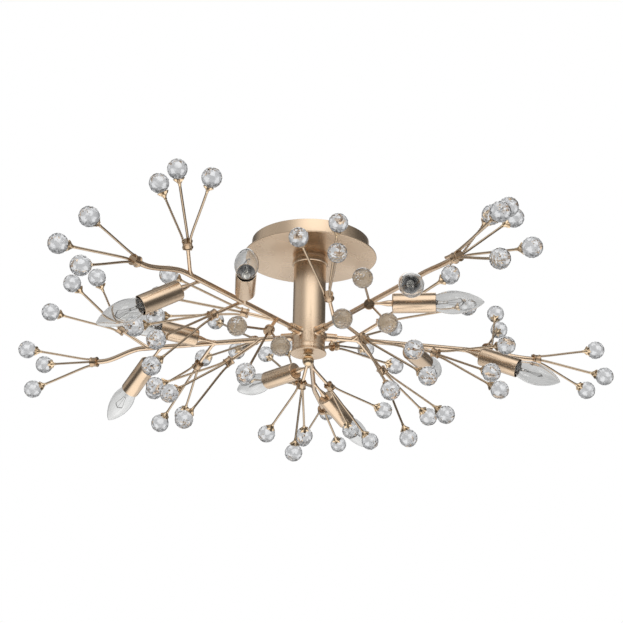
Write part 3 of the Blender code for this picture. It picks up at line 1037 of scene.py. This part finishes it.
@dataclass
class CandleBulb:
    """A clear candle bulb along Z, with its origin in the plane of the cup's mouth."""

    neck_radius: float = 0.0122
    radius: float = 0.0175
    glass_length: float = 0.071
    cap_radius: float = 0.0066
    cap_start: float = -0.0268
    cap_end: float = -0.0080
    glass_wall: float = 0.0007
    widest: float = 0.35
    bluntness: float = 0.7
    thread_ridges: int = 5
    thread_inset: float = 0.0003
    thread_depth: float = 0.0005
    coil_turns: int = 15
    coil_radius: float = 0.0007

    def width(self, share: float) -> float:
        """Radius of the glass at a share of its visible length."""
        swell = math.sin(min(share / self.widest, 1.0) * math.pi / 2)
        body = self.neck_radius + (self.radius - self.neck_radius) * swell
        fall = max(0.0, (share - self.widest) / (1 - self.widest))
        return body * math.cos(fall * math.pi / 2) ** self.bluntness

    def envelope(self) -> Mesh:
        """Glass shell, open at its neck."""
        steps, least = 30, 0.00005
        shares = [step / steps for step in range(steps)] + [0.985, 0.996]
        outer = [(self.width(share), self.glass_length * share) for share in shares]
        edge, end = self.cap_radius, self.cap_end
        neck = [(edge - 0.0004, end - 0.001), (edge + 0.0022, end + 0.0022)]
        inner = [(max(radius - self.glass_wall, least), height) for radius, height in neck + outer[:-1]]
        inner.append((0.0, self.glass_length - 2 * self.glass_wall))
        return turned("bulb_envelope", neck + outer + [(0.0, self.glass_length)] + inner[::-1], 40, 60.0)

    def cap(self) -> Mesh:
        """Screw cap with its thread's ridges and the contact at its foot."""
        start, end, edge, steps = self.cap_start, self.cap_end, self.cap_radius, 6
        first = start + 0.0045
        pitch = (end - self.thread_depth - first) / self.thread_ridges
        outline: Outline = [(0.0, start), (0.0022, start), (0.0024, start + 0.0012), (edge - 0.0012, first)]
        for step in range(self.thread_ridges * steps + 1):
            wave = self.thread_depth * math.cos(TAU * step / steps)
            outline.append((edge - self.thread_inset - wave, first + pitch * step / steps))
        outline += [(edge - 0.0006, end), (0.0, end)]
        return turned("bulb_cap", outline, 32, 60.0)

    def mount(self) -> Mesh:
        """Glass stem that carries the filament."""
        outline = rounded([
            (0.0, self.cap_end, 0), (0.0058, self.cap_end, 0.0005), (0.0040, -0.001, 0.002),
            (0.0021, 0.008, 0.003), (0.0019, 0.017, 0.001), (0.0, 0.0185, 0),
        ])
        return turned("filament_stem", outline, 20, 60.0)

    def wires(self) -> tuple[list[Run], list[Run]]:
        """Support wires, and the coiled filament that hangs between them."""
        tops = [Vector((0.0066 * side, 0, 0.036)) for side in (-1, 1)]
        middle = Vector((0, 0, 0.041))
        leads = [
            Run.even([Vector((0.001 * side, 0, 0.010)), Vector((0.003 * side, 0, 0.022)), top], 0.0003)
            for side, top in zip((-1, 1), tops)
        ]
        leads.append(Run.even([Vector((0, 0, 0.015)), middle], 0.00025))
        coil = []
        for start, end in ((tops[0], middle), (middle, tops[1])):
            points = []
            steps = 6 * self.coil_turns
            for step in range(steps + 1):
                share = step / steps
                angle = TAU * self.coil_turns * share
                aside = Vector((0, math.cos(angle), math.sin(angle))) * self.coil_radius
                points.append(start.lerp(end, share) + aside)
            coil.append(Run.even(points, 0.00016))
        return leads, coil

    def build(self, body: str, matrix: Matrix, shop: Workshop, palette: Palette) -> None:
        """Make the bulb's pieces on its own body.

        Args:
            body: the bulb's body, which has its node's name.
            matrix: places the bulb's frame.
            shop: recipes for tubes and copies.
            palette: the finishes.
        """
        glass = palette.bulb_glass
        fitted(f"{body}_glass", moved(self.envelope(), matrix), glass, body, "bulb_glass", body)
        fitted(f"{body}_cap", moved(self.cap(), matrix), palette.nickel, body, "fixing_steel")
        fitted(f"{body}_stem", moved(self.mount(), matrix), glass, body, "bulb_glass")
        leads, coil = self.wires()
        for title, runs, sides in (("supports", leads, 8), ("filament", coil, 5)):
            mesh = shop.tube(title, [run.placed(matrix) for run in runs], palette.tungsten, sides)
            fitted(f"{body}_{title}", mesh, palette.tungsten, body, "fixing_steel")


# Distance along a twig and factor on its radius, at its brazed root.
TWIG_ROOT = ((0.0, 1.5), (0.0035, 1.45), (0.0060, 1.12), (0.0085, 1.0))
# Share of a lamp stem's length and its radius there.
LAMP_STEM = (
    (0.0, 0.0034), (0.16, 0.0032), (0.24, 0.0024), (0.46, 0.0022), (0.56, 0.0026), (0.68, 0.0036),
    (0.80, 0.0046), (0.97, 0.0048), (1.0, 0.0046),
)


@dataclass
class Arm:
    """One branching arm with its sprays and its lamps."""

    number: int
    layout: ArmLayout
    shop: Workshop
    palette: Palette
    cup: LampCup = field(default_factory=LampCup)
    bulb: CandleBulb = field(default_factory=CandleBulb)

    def __post_init__(self) -> None:
        """Name the arm's body and place its frame."""
        self.body = f"arm_{self.number}"
        self.matrix = self.layout.matrix(self.number)

    @staticmethod
    def wire_sides(runs: Sequence[Vector], aim: Vector) -> list[Vector]:
        """Where around a crimp each wire runs: evenly spaced, and nearest to its own side.

        Args:
            runs: direction of each wire.
            aim: the way the crimp points.

        Returns:
            A unit vector from the crimp's axis to each wire.
        """
        first = aim.orthogonal().normalized()
        second = aim.cross(first)
        wanted = [math.atan2(run.dot(second), run.dot(first)) for run in runs]
        order = sorted(range(len(wanted)), key=lambda index: wanted[index])
        gap = TAU / len(wanted)
        offsets = [wanted[index] - gap * rank for rank, index in enumerate(order)]
        turn = math.atan2(sum(map(math.sin, offsets)), sum(map(math.cos, offsets)))
        sides = [Vector()] * len(wanted)
        for rank, index in enumerate(order):
            angle = turn + gap * rank
            sides[index] = first * math.cos(angle) + second * math.sin(angle)
        return sides

    def wire_path(
        self, seat: Vector, aim: Vector, side: Vector, centre: Vector
    ) -> tuple[list[Vector], Vector]:
        """Path of a wire from its tail under the crimp to its ball.

        Args:
            seat: where the crimp starts.
            aim: the way the crimp points.
            side: offset from the crimp's axis to the wire.
            centre: centre of the ball.

        Returns:
            The path's points, and the direction in which it meets the ball.
        """
        tail = seat - aim * 0.0008 + side
        leave = seat + aim * self.layout.crimp_length * 0.9 + side
        aimed = (centre - leave).normalized()
        end = centre - aimed * (self.layout.crystal_radius + 0.0035)
        span = (end - leave).length
        bow = (leave + aim * span * 0.11, end - aimed * span * 0.55)
        points = [tail, seat + aim * self.layout.crimp_length * 0.45 + side * 0.97]
        steps = 16
        for step in range(steps + 1):
            share = step / steps
            rest = 1 - share
            first, last = 3 * rest * rest * share, 3 * rest * share * share
            points.append(leave * rest**3 + bow[0] * first + bow[1] * last + end * share**3)
        return points, aimed

    def branches(self) -> list[Run]:
        """The arm tube, its twigs with their brazed roots, and the tapered lamp stems."""
        layout = self.layout
        runs = [Run.even(layout.tube_path(), layout.tube_radius)]
        thin = layout.twig_radius
        for spray in layout.sprays:
            if spray.twig is None:
                continue
            seat, aim = layout.crimp_seat(spray)
            root = Vector((spray.station, 0, 0))
            points = [root + aim * stop for stop, _ in TWIG_ROOT] + [seat + aim * layout.crimp_length * 0.8]
            runs.append(Run(tuple(points), (*(thin * factor for _, factor in TWIG_ROOT), thin)))
        for station, aim in layout.lamps(self.number).values():
            root = Vector((station, 0, 0))
            points = [root + aim * layout.stem_length * share for share, _ in LAMP_STEM]
            runs.append(Run(tuple(points), tuple(girth for _, girth in LAMP_STEM)))
        return runs

    def build(self) -> None:
        """Make every piece of the arm, and its bulbs on their own bodies."""
        layout, shop, palette = self.layout, self.shop, self.palette
        balls, caps, crimps, tip_crimps = [], [], [], []
        wires: dict[WireStyle, list[Run]] = {style: [] for style in WireStyle}
        for spray in layout.sprays:
            seat, aim = layout.crimp_seat(spray)
            ring = layout.tip_wire_ring if spray.twig is None else layout.wire_ring
            seats = tip_crimps if spray.twig is None else crimps
            seats.append(Perch(seat, aim, aim.orthogonal()).placed(self.matrix))
            knot = seat + aim * layout.crimp_grip
            runs = spray.runs(self.number, aim)
            sides = self.wire_sides([run for _, run in runs], aim)
            for (length, run), style, side in zip(runs, spray.styles, sides):
                centre = knot + run * length
                points, aimed = self.wire_path(seat, aim, side * ring, centre)
                wires[style].append(Run.even(points, style.value).placed(self.matrix))
                balls.append(Perch(centre, aimed, side).placed(self.matrix))
                touch = centre - aimed * layout.crystal_radius
                caps.append(Perch(touch, aimed, side).placed(self.matrix))
        body, number = self.body, self.number
        sprays = [f"spray_{number}_{spray.name}" for spray in layout.sprays]
        branches = [run.placed(self.matrix) for run in self.branches()]
        mesh = shop.tube("branches", branches, palette.gold, 20)
        fitted(f"{body}_branches", mesh, palette.gold, body, "frame_gold", body)
        # The wires get the frame's gold darkened as painted shade.
        mesh = shop.tube("wires", wires[WireStyle.PLAIN] + wires[WireStyle.HEAVY], palette.wire, 10)
        fitted(f"{body}_wires", mesh, palette.wire, body, "frame_gold")
        twisted = WireStyle.TWISTED
        mesh = shop.rope("ropes", wires[twisted], palette.wire, twisted.value, layout.twist_length)
        fitted(f"{body}_twisted_wires", mesh, palette.wire, body, "frame_gold")
        ball = CrystalBall(layout.crystal_radius - layout.crystal_inset).mesh()
        shop.fit(f"{body}_crystals", ball, balls, palette.crystal, body, "crystal", *sprays)
        cap = PetalCap(layout.crystal_radius).mesh()
        shop.fit(f"{body}_petal_caps", cap, caps, palette.polished, body, "finial_gold")
        bands = []
        for ring, seats in ((layout.wire_ring, crimps), (layout.tip_wire_ring, tip_crimps)):
            band = Crimp(ring + WireStyle.PLAIN.value, layout.crimp_length).mesh()
            bands.append(shop.copies("bands", band, seats, palette.copper))
        fitted(f"{body}_crimps", joined("crimps", bands), palette.copper, body, "finial_gold")
        self.lamps()

    def lamps(self) -> None:
        """Make the cups and holders on the arm, and the bulbs on their own bodies."""
        seats = []
        for kind, (station, aim) in self.layout.lamps(self.number).items():
            back = Vector((station, 0, 0)) + aim * (self.layout.stem_length + CLEARANCE)
            seats.append(Perch(back, aim, aim.orthogonal()).placed(self.matrix))
            mouth = self.matrix @ stood(aim, back + aim * self.cup.length)
            self.bulb.build(f"bulb_{self.number}_{kind.value}", mouth, self.shop, self.palette)
        body, palette, fit = self.body, self.palette, self.shop.fit
        nodes = [f"lamp_cup_{self.number}_{kind.value}" for kind in LampKind]
        fit(f"{body}_lamp_cups", self.cup.mesh(), seats, palette.gold, body, "frame_gold", *nodes)
        fit(f"{body}_lampholders", Lampholder().mesh(), seats, palette.holder, body, "terminal_ceramic")


@dataclass
class Canopy:
    """The cup against the ceiling, the plate under it, and what they hide."""

    palette: Palette
    shop: Workshop
    radius: float = 0.093
    wall: float = 0.0012
    plate_radius: float = 0.105
    bore: float = 0.0046
    wire_hole: float = 0.005
    wire_hole_offset: float = 0.014
    screw_radius: float = 0.0019
    screw_height: float = 0.0012
    screw_gap: float = 0.010

    def build(self) -> None:
        """Make the cup and the plate, and dress the bracket, rod, nut and terminal block."""
        low, _ = heights("canopy_cup")
        inner = self.radius - self.wall
        deck = low + self.wall
        cup = rounded([
            (self.bore, low, 0), (self.radius, low, 0.0016), (self.radius, 0.0, 0.0003),
            (inner, 0.0, 0.0003), (inner, deck, 0.001), (self.bore, deck, 0),
        ])
        plate_low, plate_high = heights("canopy_plate")
        plate = rounded([
            (self.bore, plate_high, 0), (self.plate_radius, plate_high, 0.0007),
            (self.plate_radius, plate_low, 0.0012), (self.bore, plate_low, 0),
        ])
        for node, outline in (("canopy_cup", cup), ("canopy_plate", plate)):
            above, under, radius = 0.002, -0.05, self.wire_hole
            hole = turned("hole", [(0, above), (radius, above), (radius, under), (0, under)], 24)
            moved(hole, Matrix.Translation((0, self.wire_hole_offset, -0.008)))
            mesh = trimmed(turned(node, outline, 128), hole)
            fitted(f"{node}_shell", mesh, self.palette.gold, "ceiling_unit", "frame_gold", node)
        self.dress_inside()

    def dress_inside(self) -> None:
        """Give the carried-over solids their finishes, and add the terminal screws."""
        finishes = {
            "ceiling_bracket": self.palette.zinc, "threaded_rod": self.palette.thread,
            "rod_lock_nut": self.palette.zinc, "terminal_block": self.palette.ceramic,
        }
        for node, finish in finishes.items():
            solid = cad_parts[node]
            for slot in solid.material_slots:
                slot.material = finish
            LOG.info("%s keeps its solid", node)
        low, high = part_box("terminal_block")
        spots, down, inset = [], Vector((0, 0, -1)), 0.22
        for way in (-1, 0, 1):
            for share in (inset, 1 - inset):
                spot = Vector((low.x * (1 - share) + high.x * share, way * self.screw_gap, low.z))
                spots.append(Perch(spot, down, Vector((1, 0.4 * way, 0))))
        screw = slotted_screw(self.screw_radius, self.screw_height)
        nickel = self.palette.nickel
        self.shop.fit("terminal_screws", screw, spots, nickel, "ceiling_unit", "fixing_steel")


def slotted_screw(radius: float, height: float) -> Mesh:
    """Head of a slotted screw along Z, standing on Z = 0."""
    foot = -height * 0.3
    head = turned("screw_head", rounded([
        (0.0, foot, 0), (radius, foot, 0), (radius, height, radius * 0.3), (0.0, height, 0),
    ]), 20)
    shape = bmesh.new()
    bmesh.ops.create_cube(shape, size=1.0)
    bmesh.ops.scale(shape, verts=shape.verts, vec=(radius * 3, radius * 0.28, height))
    bmesh.ops.translate(shape, verts=shape.verts, vec=(0, 0, height * 1.05))
    return trimmed(head, plain(shape, "slot"))


@dataclass
class Column:
    """The column tube with its arm collars, the ring at its top, its foot and the finial."""

    layout: ArmLayout
    palette: Palette
    shop: Workshop
    wall: float = 0.0015
    ring_radius: float = 0.028
    collar_radius: float = 0.0065
    foot_bore: float = 0.0045
    finial_radius: float = 0.009
    finial_neck: float = 32.0

    def collar(self) -> Mesh:
        """Collar of one arm along Z from the column axis, with a bright band at its end."""
        inner = self.layout.tube_radius + CLEARANCE
        start, end = self.layout.column_radius - 0.0012, self.layout.collar_reach
        edge = self.collar_radius
        groove = edge - 0.0004
        return turned("collar", rounded([
            (inner, start, 0), (edge + 0.0018, start, 0), (edge, start + 0.003, 0.0012),
            (edge, end - 0.0042, 0.0002), (groove, end - 0.0039, 0.0001), (groove, end - 0.0034, 0.0001),
            (edge, end - 0.0031, 0.0002), (edge, end, 0.0005), (inner, end, 0.0003),
        ]), 40)

    def set_screw(self) -> Mesh:
        """Knurled set screw that locks an arm, along Z from the collar's wall."""
        return turned("set_screw", rounded([
            (0.0, -0.001, 0), (0.0014, -0.001, 0), (0.0014, 0.0014, 0.0), (0.0025, 0.0014, 0.0003),
            (0.0025, 0.0042, 0.0005), (0.0008, 0.0042, 0.0001), (0.0006, 0.0034, 0), (0.0, 0.0034, 0),
        ], 3), 24, 30.0, lambda share, angle: 1 + 0.05 * math.cos(12 * angle))

    def build(self) -> None:
        """Make the column's pieces and the finial."""
        layout, palette = self.layout, self.palette
        bottom, top = heights("column_tube")
        edge, inner = layout.column_radius, layout.column_radius - self.wall
        groove = edge - 0.0006
        tube = turned("column", rounded([
            (inner, top, 0), (edge, top, 0.0003), (edge, bottom + 0.0075, 0.0003),
            (groove, bottom + 0.0071, 0), (groove, bottom + 0.0063, 0), (edge, bottom + 0.0059, 0.0003), (edge + 0.0002, bottom, 0.0008),
            (inner, bottom, 0),
        ]), 112)
        fitted("column_shell", tube, palette.gold, "ceiling_unit", "frame_gold", "column_tube")
        collars, screws = [], []
        for number in range(1, ARMS + 1):
            matrix = layout.matrix(number)
            aim = (matrix.to_3x3() @ Vector((1, 0, 0))).normalized()
            under = Vector((0, 0, -1))
            collars.append(Perch(matrix.translation, aim, under))
            spot = matrix.translation + aim * (layout.collar_reach - 0.0075) + under * self.collar_radius
            screws.append(Perch(spot, under, aim))
        fit = self.shop.fit
        fit("arm_collars", self.collar(), collars, palette.gold, "ceiling_unit", "frame_gold")
        fit(
            "collar_set_screws", self.set_screw(), screws, palette.polished, "ceiling_unit", "finial_gold"
        )
        self.build_ends()

    def build_ends(self) -> None:
        """Make the ring under the canopy, the stepped foot and the ball finial."""
        low, high = heights("column_top_ring")
        bore, rim = self.layout.column_radius + CLEARANCE, self.ring_radius
        gold, groove = self.palette.gold, rim - 0.0020
        ring = turned("ring", rounded([
            (bore, high, 0), (rim - 0.0008, high, 0.0004), (rim - 0.0008, high - 0.0030, 0.0004),
            (groove, high - 0.0036, 0.0002), (groove, high - 0.0044, 0.0002), (rim, high - 0.0052, 0.0006),
            (rim, low + 0.0014, 0.0010), (rim - 0.0014, low, 0.0003), (bore, low, 0),
        ]), 112)
        fitted("column_ring_collar", ring, gold, "ceiling_unit", "frame_gold", "column_top_ring")
        low, high = heights("column_foot_cap")
        deck = heights("column_tube")[0] - CLEARANCE
        spigot = self.layout.column_radius - self.wall - 0.0007
        step_edge = rim - 0.0012
        foot = turned("foot", rounded([
            (self.foot_bore, high, 0), (spigot, high, 0.0005), (spigot, deck, 0), (step_edge, deck, 0.0006),
            (step_edge, deck - 0.0014, 0.0004), (groove, deck - 0.0018, 0.0002),
            (rim, deck - 0.0024, 0.0006), (rim, low, 0.0009), (self.foot_bore, low, 0),
        ]), 112)
        fitted("column_foot_disc", foot, gold, "ceiling_unit", "frame_gold", "column_foot_cap")
        low, high = heights("finial_ball")
        radius, steps = self.finial_radius, 21
        outline: Outline = [
            (0.0, high), (0.0078, high), (0.0080, high - 0.0005), (0.0078, high - 0.0010),
            (0.0052, high - 0.0013), (0.0046, high - 0.0020),
        ]
        for step in range(steps):
            angle = math.radians(self.finial_neck + (180 - self.finial_neck) * step / steps)
            outline.append((radius * math.sin(angle), low + radius + radius * math.cos(angle)))
        outline.append((0.0, low))
        knob = turned("finial", outline, 48, 40.0)
        fitted("finial_knob", knob, self.palette.polished, "finial", "finial_gold", "finial_ball")


# --------------------------------------------------------------------------------- the studio


class Sky(Nodes):
    """The room around the fitting, with its own look for reflections and for what glass shows."""

    key_brightness = 1.42
    left_brightness = 0.42
    right_brightness = 0.15
    back_brightness = 1.3
    under_brightness = 1.3
    beyond_brightness = 0.80
    rest_brightness = 0.10
    pale_brightness = 0.46
    window_columns = 6.0
    window_rows = 7.0
    window_brightness = 0.30
    glass_rest = 0.08
    camera_brightness = 1.0
    diffuse_brightness = 0.9

    def __init__(self, world: bpy.types.World) -> None:
        """Start the world's tree and read the direction that a ray looks in."""
        world.use_nodes = True
        super().__init__(world.node_tree)
        spot = self.node("ShaderNodeTexCoord").outputs["Generated"]
        split = self.node("ShaderNodeSeparateXYZ", sockets={0: spot})
        self.east, self.north, self.up = (Field(self, split.outputs[axis]) for axis in "XYZ")
        self.swing = self.east.turn(-self.north)

    def panel(self, middle: float, edge: float, core: float) -> Field:
        """1 within core of a compass angle in radians, 0 beyond edge, and eased between them."""
        return abs(self.swing - middle).eased(edge, core)

    def reflected(self) -> Field:
        """Brightness in reflections: a tall key panel in front, softer ones around it, a dark rest."""
        high = self.up.eased(0.08, 0.28) * self.up.eased(0.99, 0.86)
        above_floor = self.up.eased(-0.15, 0.10)
        key = self.panel(0.20, 1.25, 0.22) * high * self.key_brightness
        left = self.panel(-1.45, 1.1, 0.35) * above_floor * self.left_brightness
        right = self.panel(1.30, 0.6, 0.2) * above_floor * self.right_brightness
        back = abs(self.swing).eased(2.70, 3.0) * high * self.back_brightness
        under = self.up.eased(-0.50, -0.86) * self.under_brightness
        beyond = abs(self.up + 0.36).eased(0.34, 0.12) * self.north.eased(0.2, 0.7)
        return key + left + right + back + under + beyond * self.beyond_brightness + self.rest_brightness

    def refracted(self, ahead: Vector) -> Field:
        """Brightness through glass: pale along the line of sight and below, small windows all round."""
        direction = self.node(
            "ShaderNodeCombineXYZ", sockets={0: self.east, 1: self.north, 2: self.up}
        ).outputs[0]
        facing = self.node(
            "ShaderNodeVectorMath", {"operation": "DOT_PRODUCT"}, {0: direction, 1: tuple(ahead)}
        )
        along_sight = abs(Field(self, facing.outputs["Value"])).eased(0.25, 0.80)
        below = self.up.eased(0.10, -0.35)
        pale = (1 - (1 - along_sight) * (1 - below)) * self.up.eased(0.92, 0.55)
        waves = (self.swing * self.window_columns + 0.5).sine() * (self.up * self.window_rows + 0.8).sine()
        windows = waves.eased(-0.1, 0.35) * self.window_brightness
        return pale * self.pale_brightness + windows + self.glass_rest

    def light(self, strength: Any) -> Socket:
        """A white background of the given strength."""
        sockets = {"Color": (1.0, 1.0, 1.0, 1.0), "Strength": strength}
        return self.node("ShaderNodeBackground", sockets=sockets).outputs[0]

    def build(self, ahead: Vector) -> None:
        """Choose a look for each kind of ray and send it to the output."""
        ray = self.node("ShaderNodeLightPath")
        look = self.light(self.diffuse_brightness)
        for kind, strength in (
            ("Is Glossy Ray", self.reflected()), ("Is Transmission Ray", self.refracted(ahead)),
            ("Is Camera Ray", self.camera_brightness),
        ):
            sockets = {0: ray.outputs[kind], 1: look, 2: self.light(strength)}
            look = self.node("ShaderNodeMixShader", sockets=sockets).outputs[0]
        self.node("ShaderNodeOutputWorld", sockets={0: look})


@dataclass
class Studio:
    """Plain pale floor, soft light and the camera."""

    floor_level: float = -4.3
    hub_level: float = -0.186
    distance: float = 2.38
    climb: float = 21.245
    swing: float = 2.14
    lean: float = 1.14
    lens: float = 89.02
    hub_across: float = -0.0049
    hub_below: float = -0.0646

    def floor(self) -> None:
        """A wide pale floor far below the fitting."""
        shape = bmesh.new()
        bmesh.ops.create_grid(shape, x_segments=8, y_segments=8, size=30.0)
        mesh = plain(shape, "studio_floor")
        surface = Surface("pale_floor")
        tone = surface.mix(surface.noise(0.6, 2.0), (0.93, 0.93, 0.93), (0.89, 0.89, 0.89))
        mesh.materials.append(surface.finish({"Base Color": tone, "Roughness": 0.9}))
        floor = linked("studio_floor", mesh)
        floor.location.z = self.floor_level
        floor.visible_glossy = False
        floor.visible_transmission = False

    def light(self, name: str, place: tuple, size: float, power: float) -> None:
        """A square soft light that faces the fitting."""
        data = bpy.data.lights.new(name, "AREA")
        data.energy = power
        data.size = size
        lamp = linked(name, data)
        lamp.location = place
        lamp.visible_camera = False
        lamp.visible_glossy = False
        aim = Vector((0, 0, self.hub_level)) - lamp.location
        lamp.rotation_euler = aim.to_track_quat("-Z", "Y").to_euler()

    def axes(self) -> tuple[Vector, Vector, Vector]:
        """The camera's right, up and forward directions."""
        swing, climb, lean = (math.radians(angle) for angle in (self.swing, self.climb, self.lean))
        level = Vector((-math.sin(swing), math.cos(swing), 0))
        right = Vector((math.cos(swing), math.sin(swing), 0))
        ahead = level * math.cos(climb) + Vector((0, 0, math.sin(climb)))
        above = Vector((0, 0, math.cos(climb))) - level * math.sin(climb)
        tilted = right * math.cos(lean) + above * math.sin(lean)
        return tilted, above * math.cos(lean) - right * math.sin(lean), ahead

    def camera(self) -> None:
        """The camera below the fitting, which looks up at it."""
        right, above, ahead = self.axes()
        hub = Vector((0, 0, self.hub_level))
        place = hub - ahead * self.distance - right * self.hub_across - above * self.hub_below
        data = bpy.data.cameras.new("camera")
        data.lens = self.lens
        data.sensor_width = 36.0
        data.clip_start = 0.05
        data.clip_end = 100.0
        camera = linked("camera", data)
        turn = Matrix((right, above, -ahead)).transposed().to_4x4()
        camera.matrix_world = Matrix.Translation(place) @ turn
        bpy.context.scene.camera = camera

    def build(self) -> None:
        """Set up the whole studio."""
        self.floor()
        world = bpy.data.worlds.new("studio")
        bpy.context.scene.world = world
        Sky(world).build(self.axes()[2])
        self.light("key", (0.7, -2.6, 1.2), 1.0, 8.0)
        self.light("fill", (-2.2, -1.4, 0.3), 1.4, 6.0)
        self.camera()
        bpy.context.scene.view_settings.view_transform = "Standard"


def main() -> None:
    """Build the fitting from the ceiling down, then the studio."""
    logging.basicConfig(level=logging.INFO, format="%(name)s: %(message)s", stream=sys.stdout)
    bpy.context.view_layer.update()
    palette = Palette()
    shop = Workshop()
    layout = ArmLayout()
    Canopy(palette, shop).build()
    Column(layout, palette, shop).build()
    for number in range(1, ARMS + 1):
        Arm(number, layout, shop, palette).build()
    Studio().build()


if __name__ == "__main__":
    main()
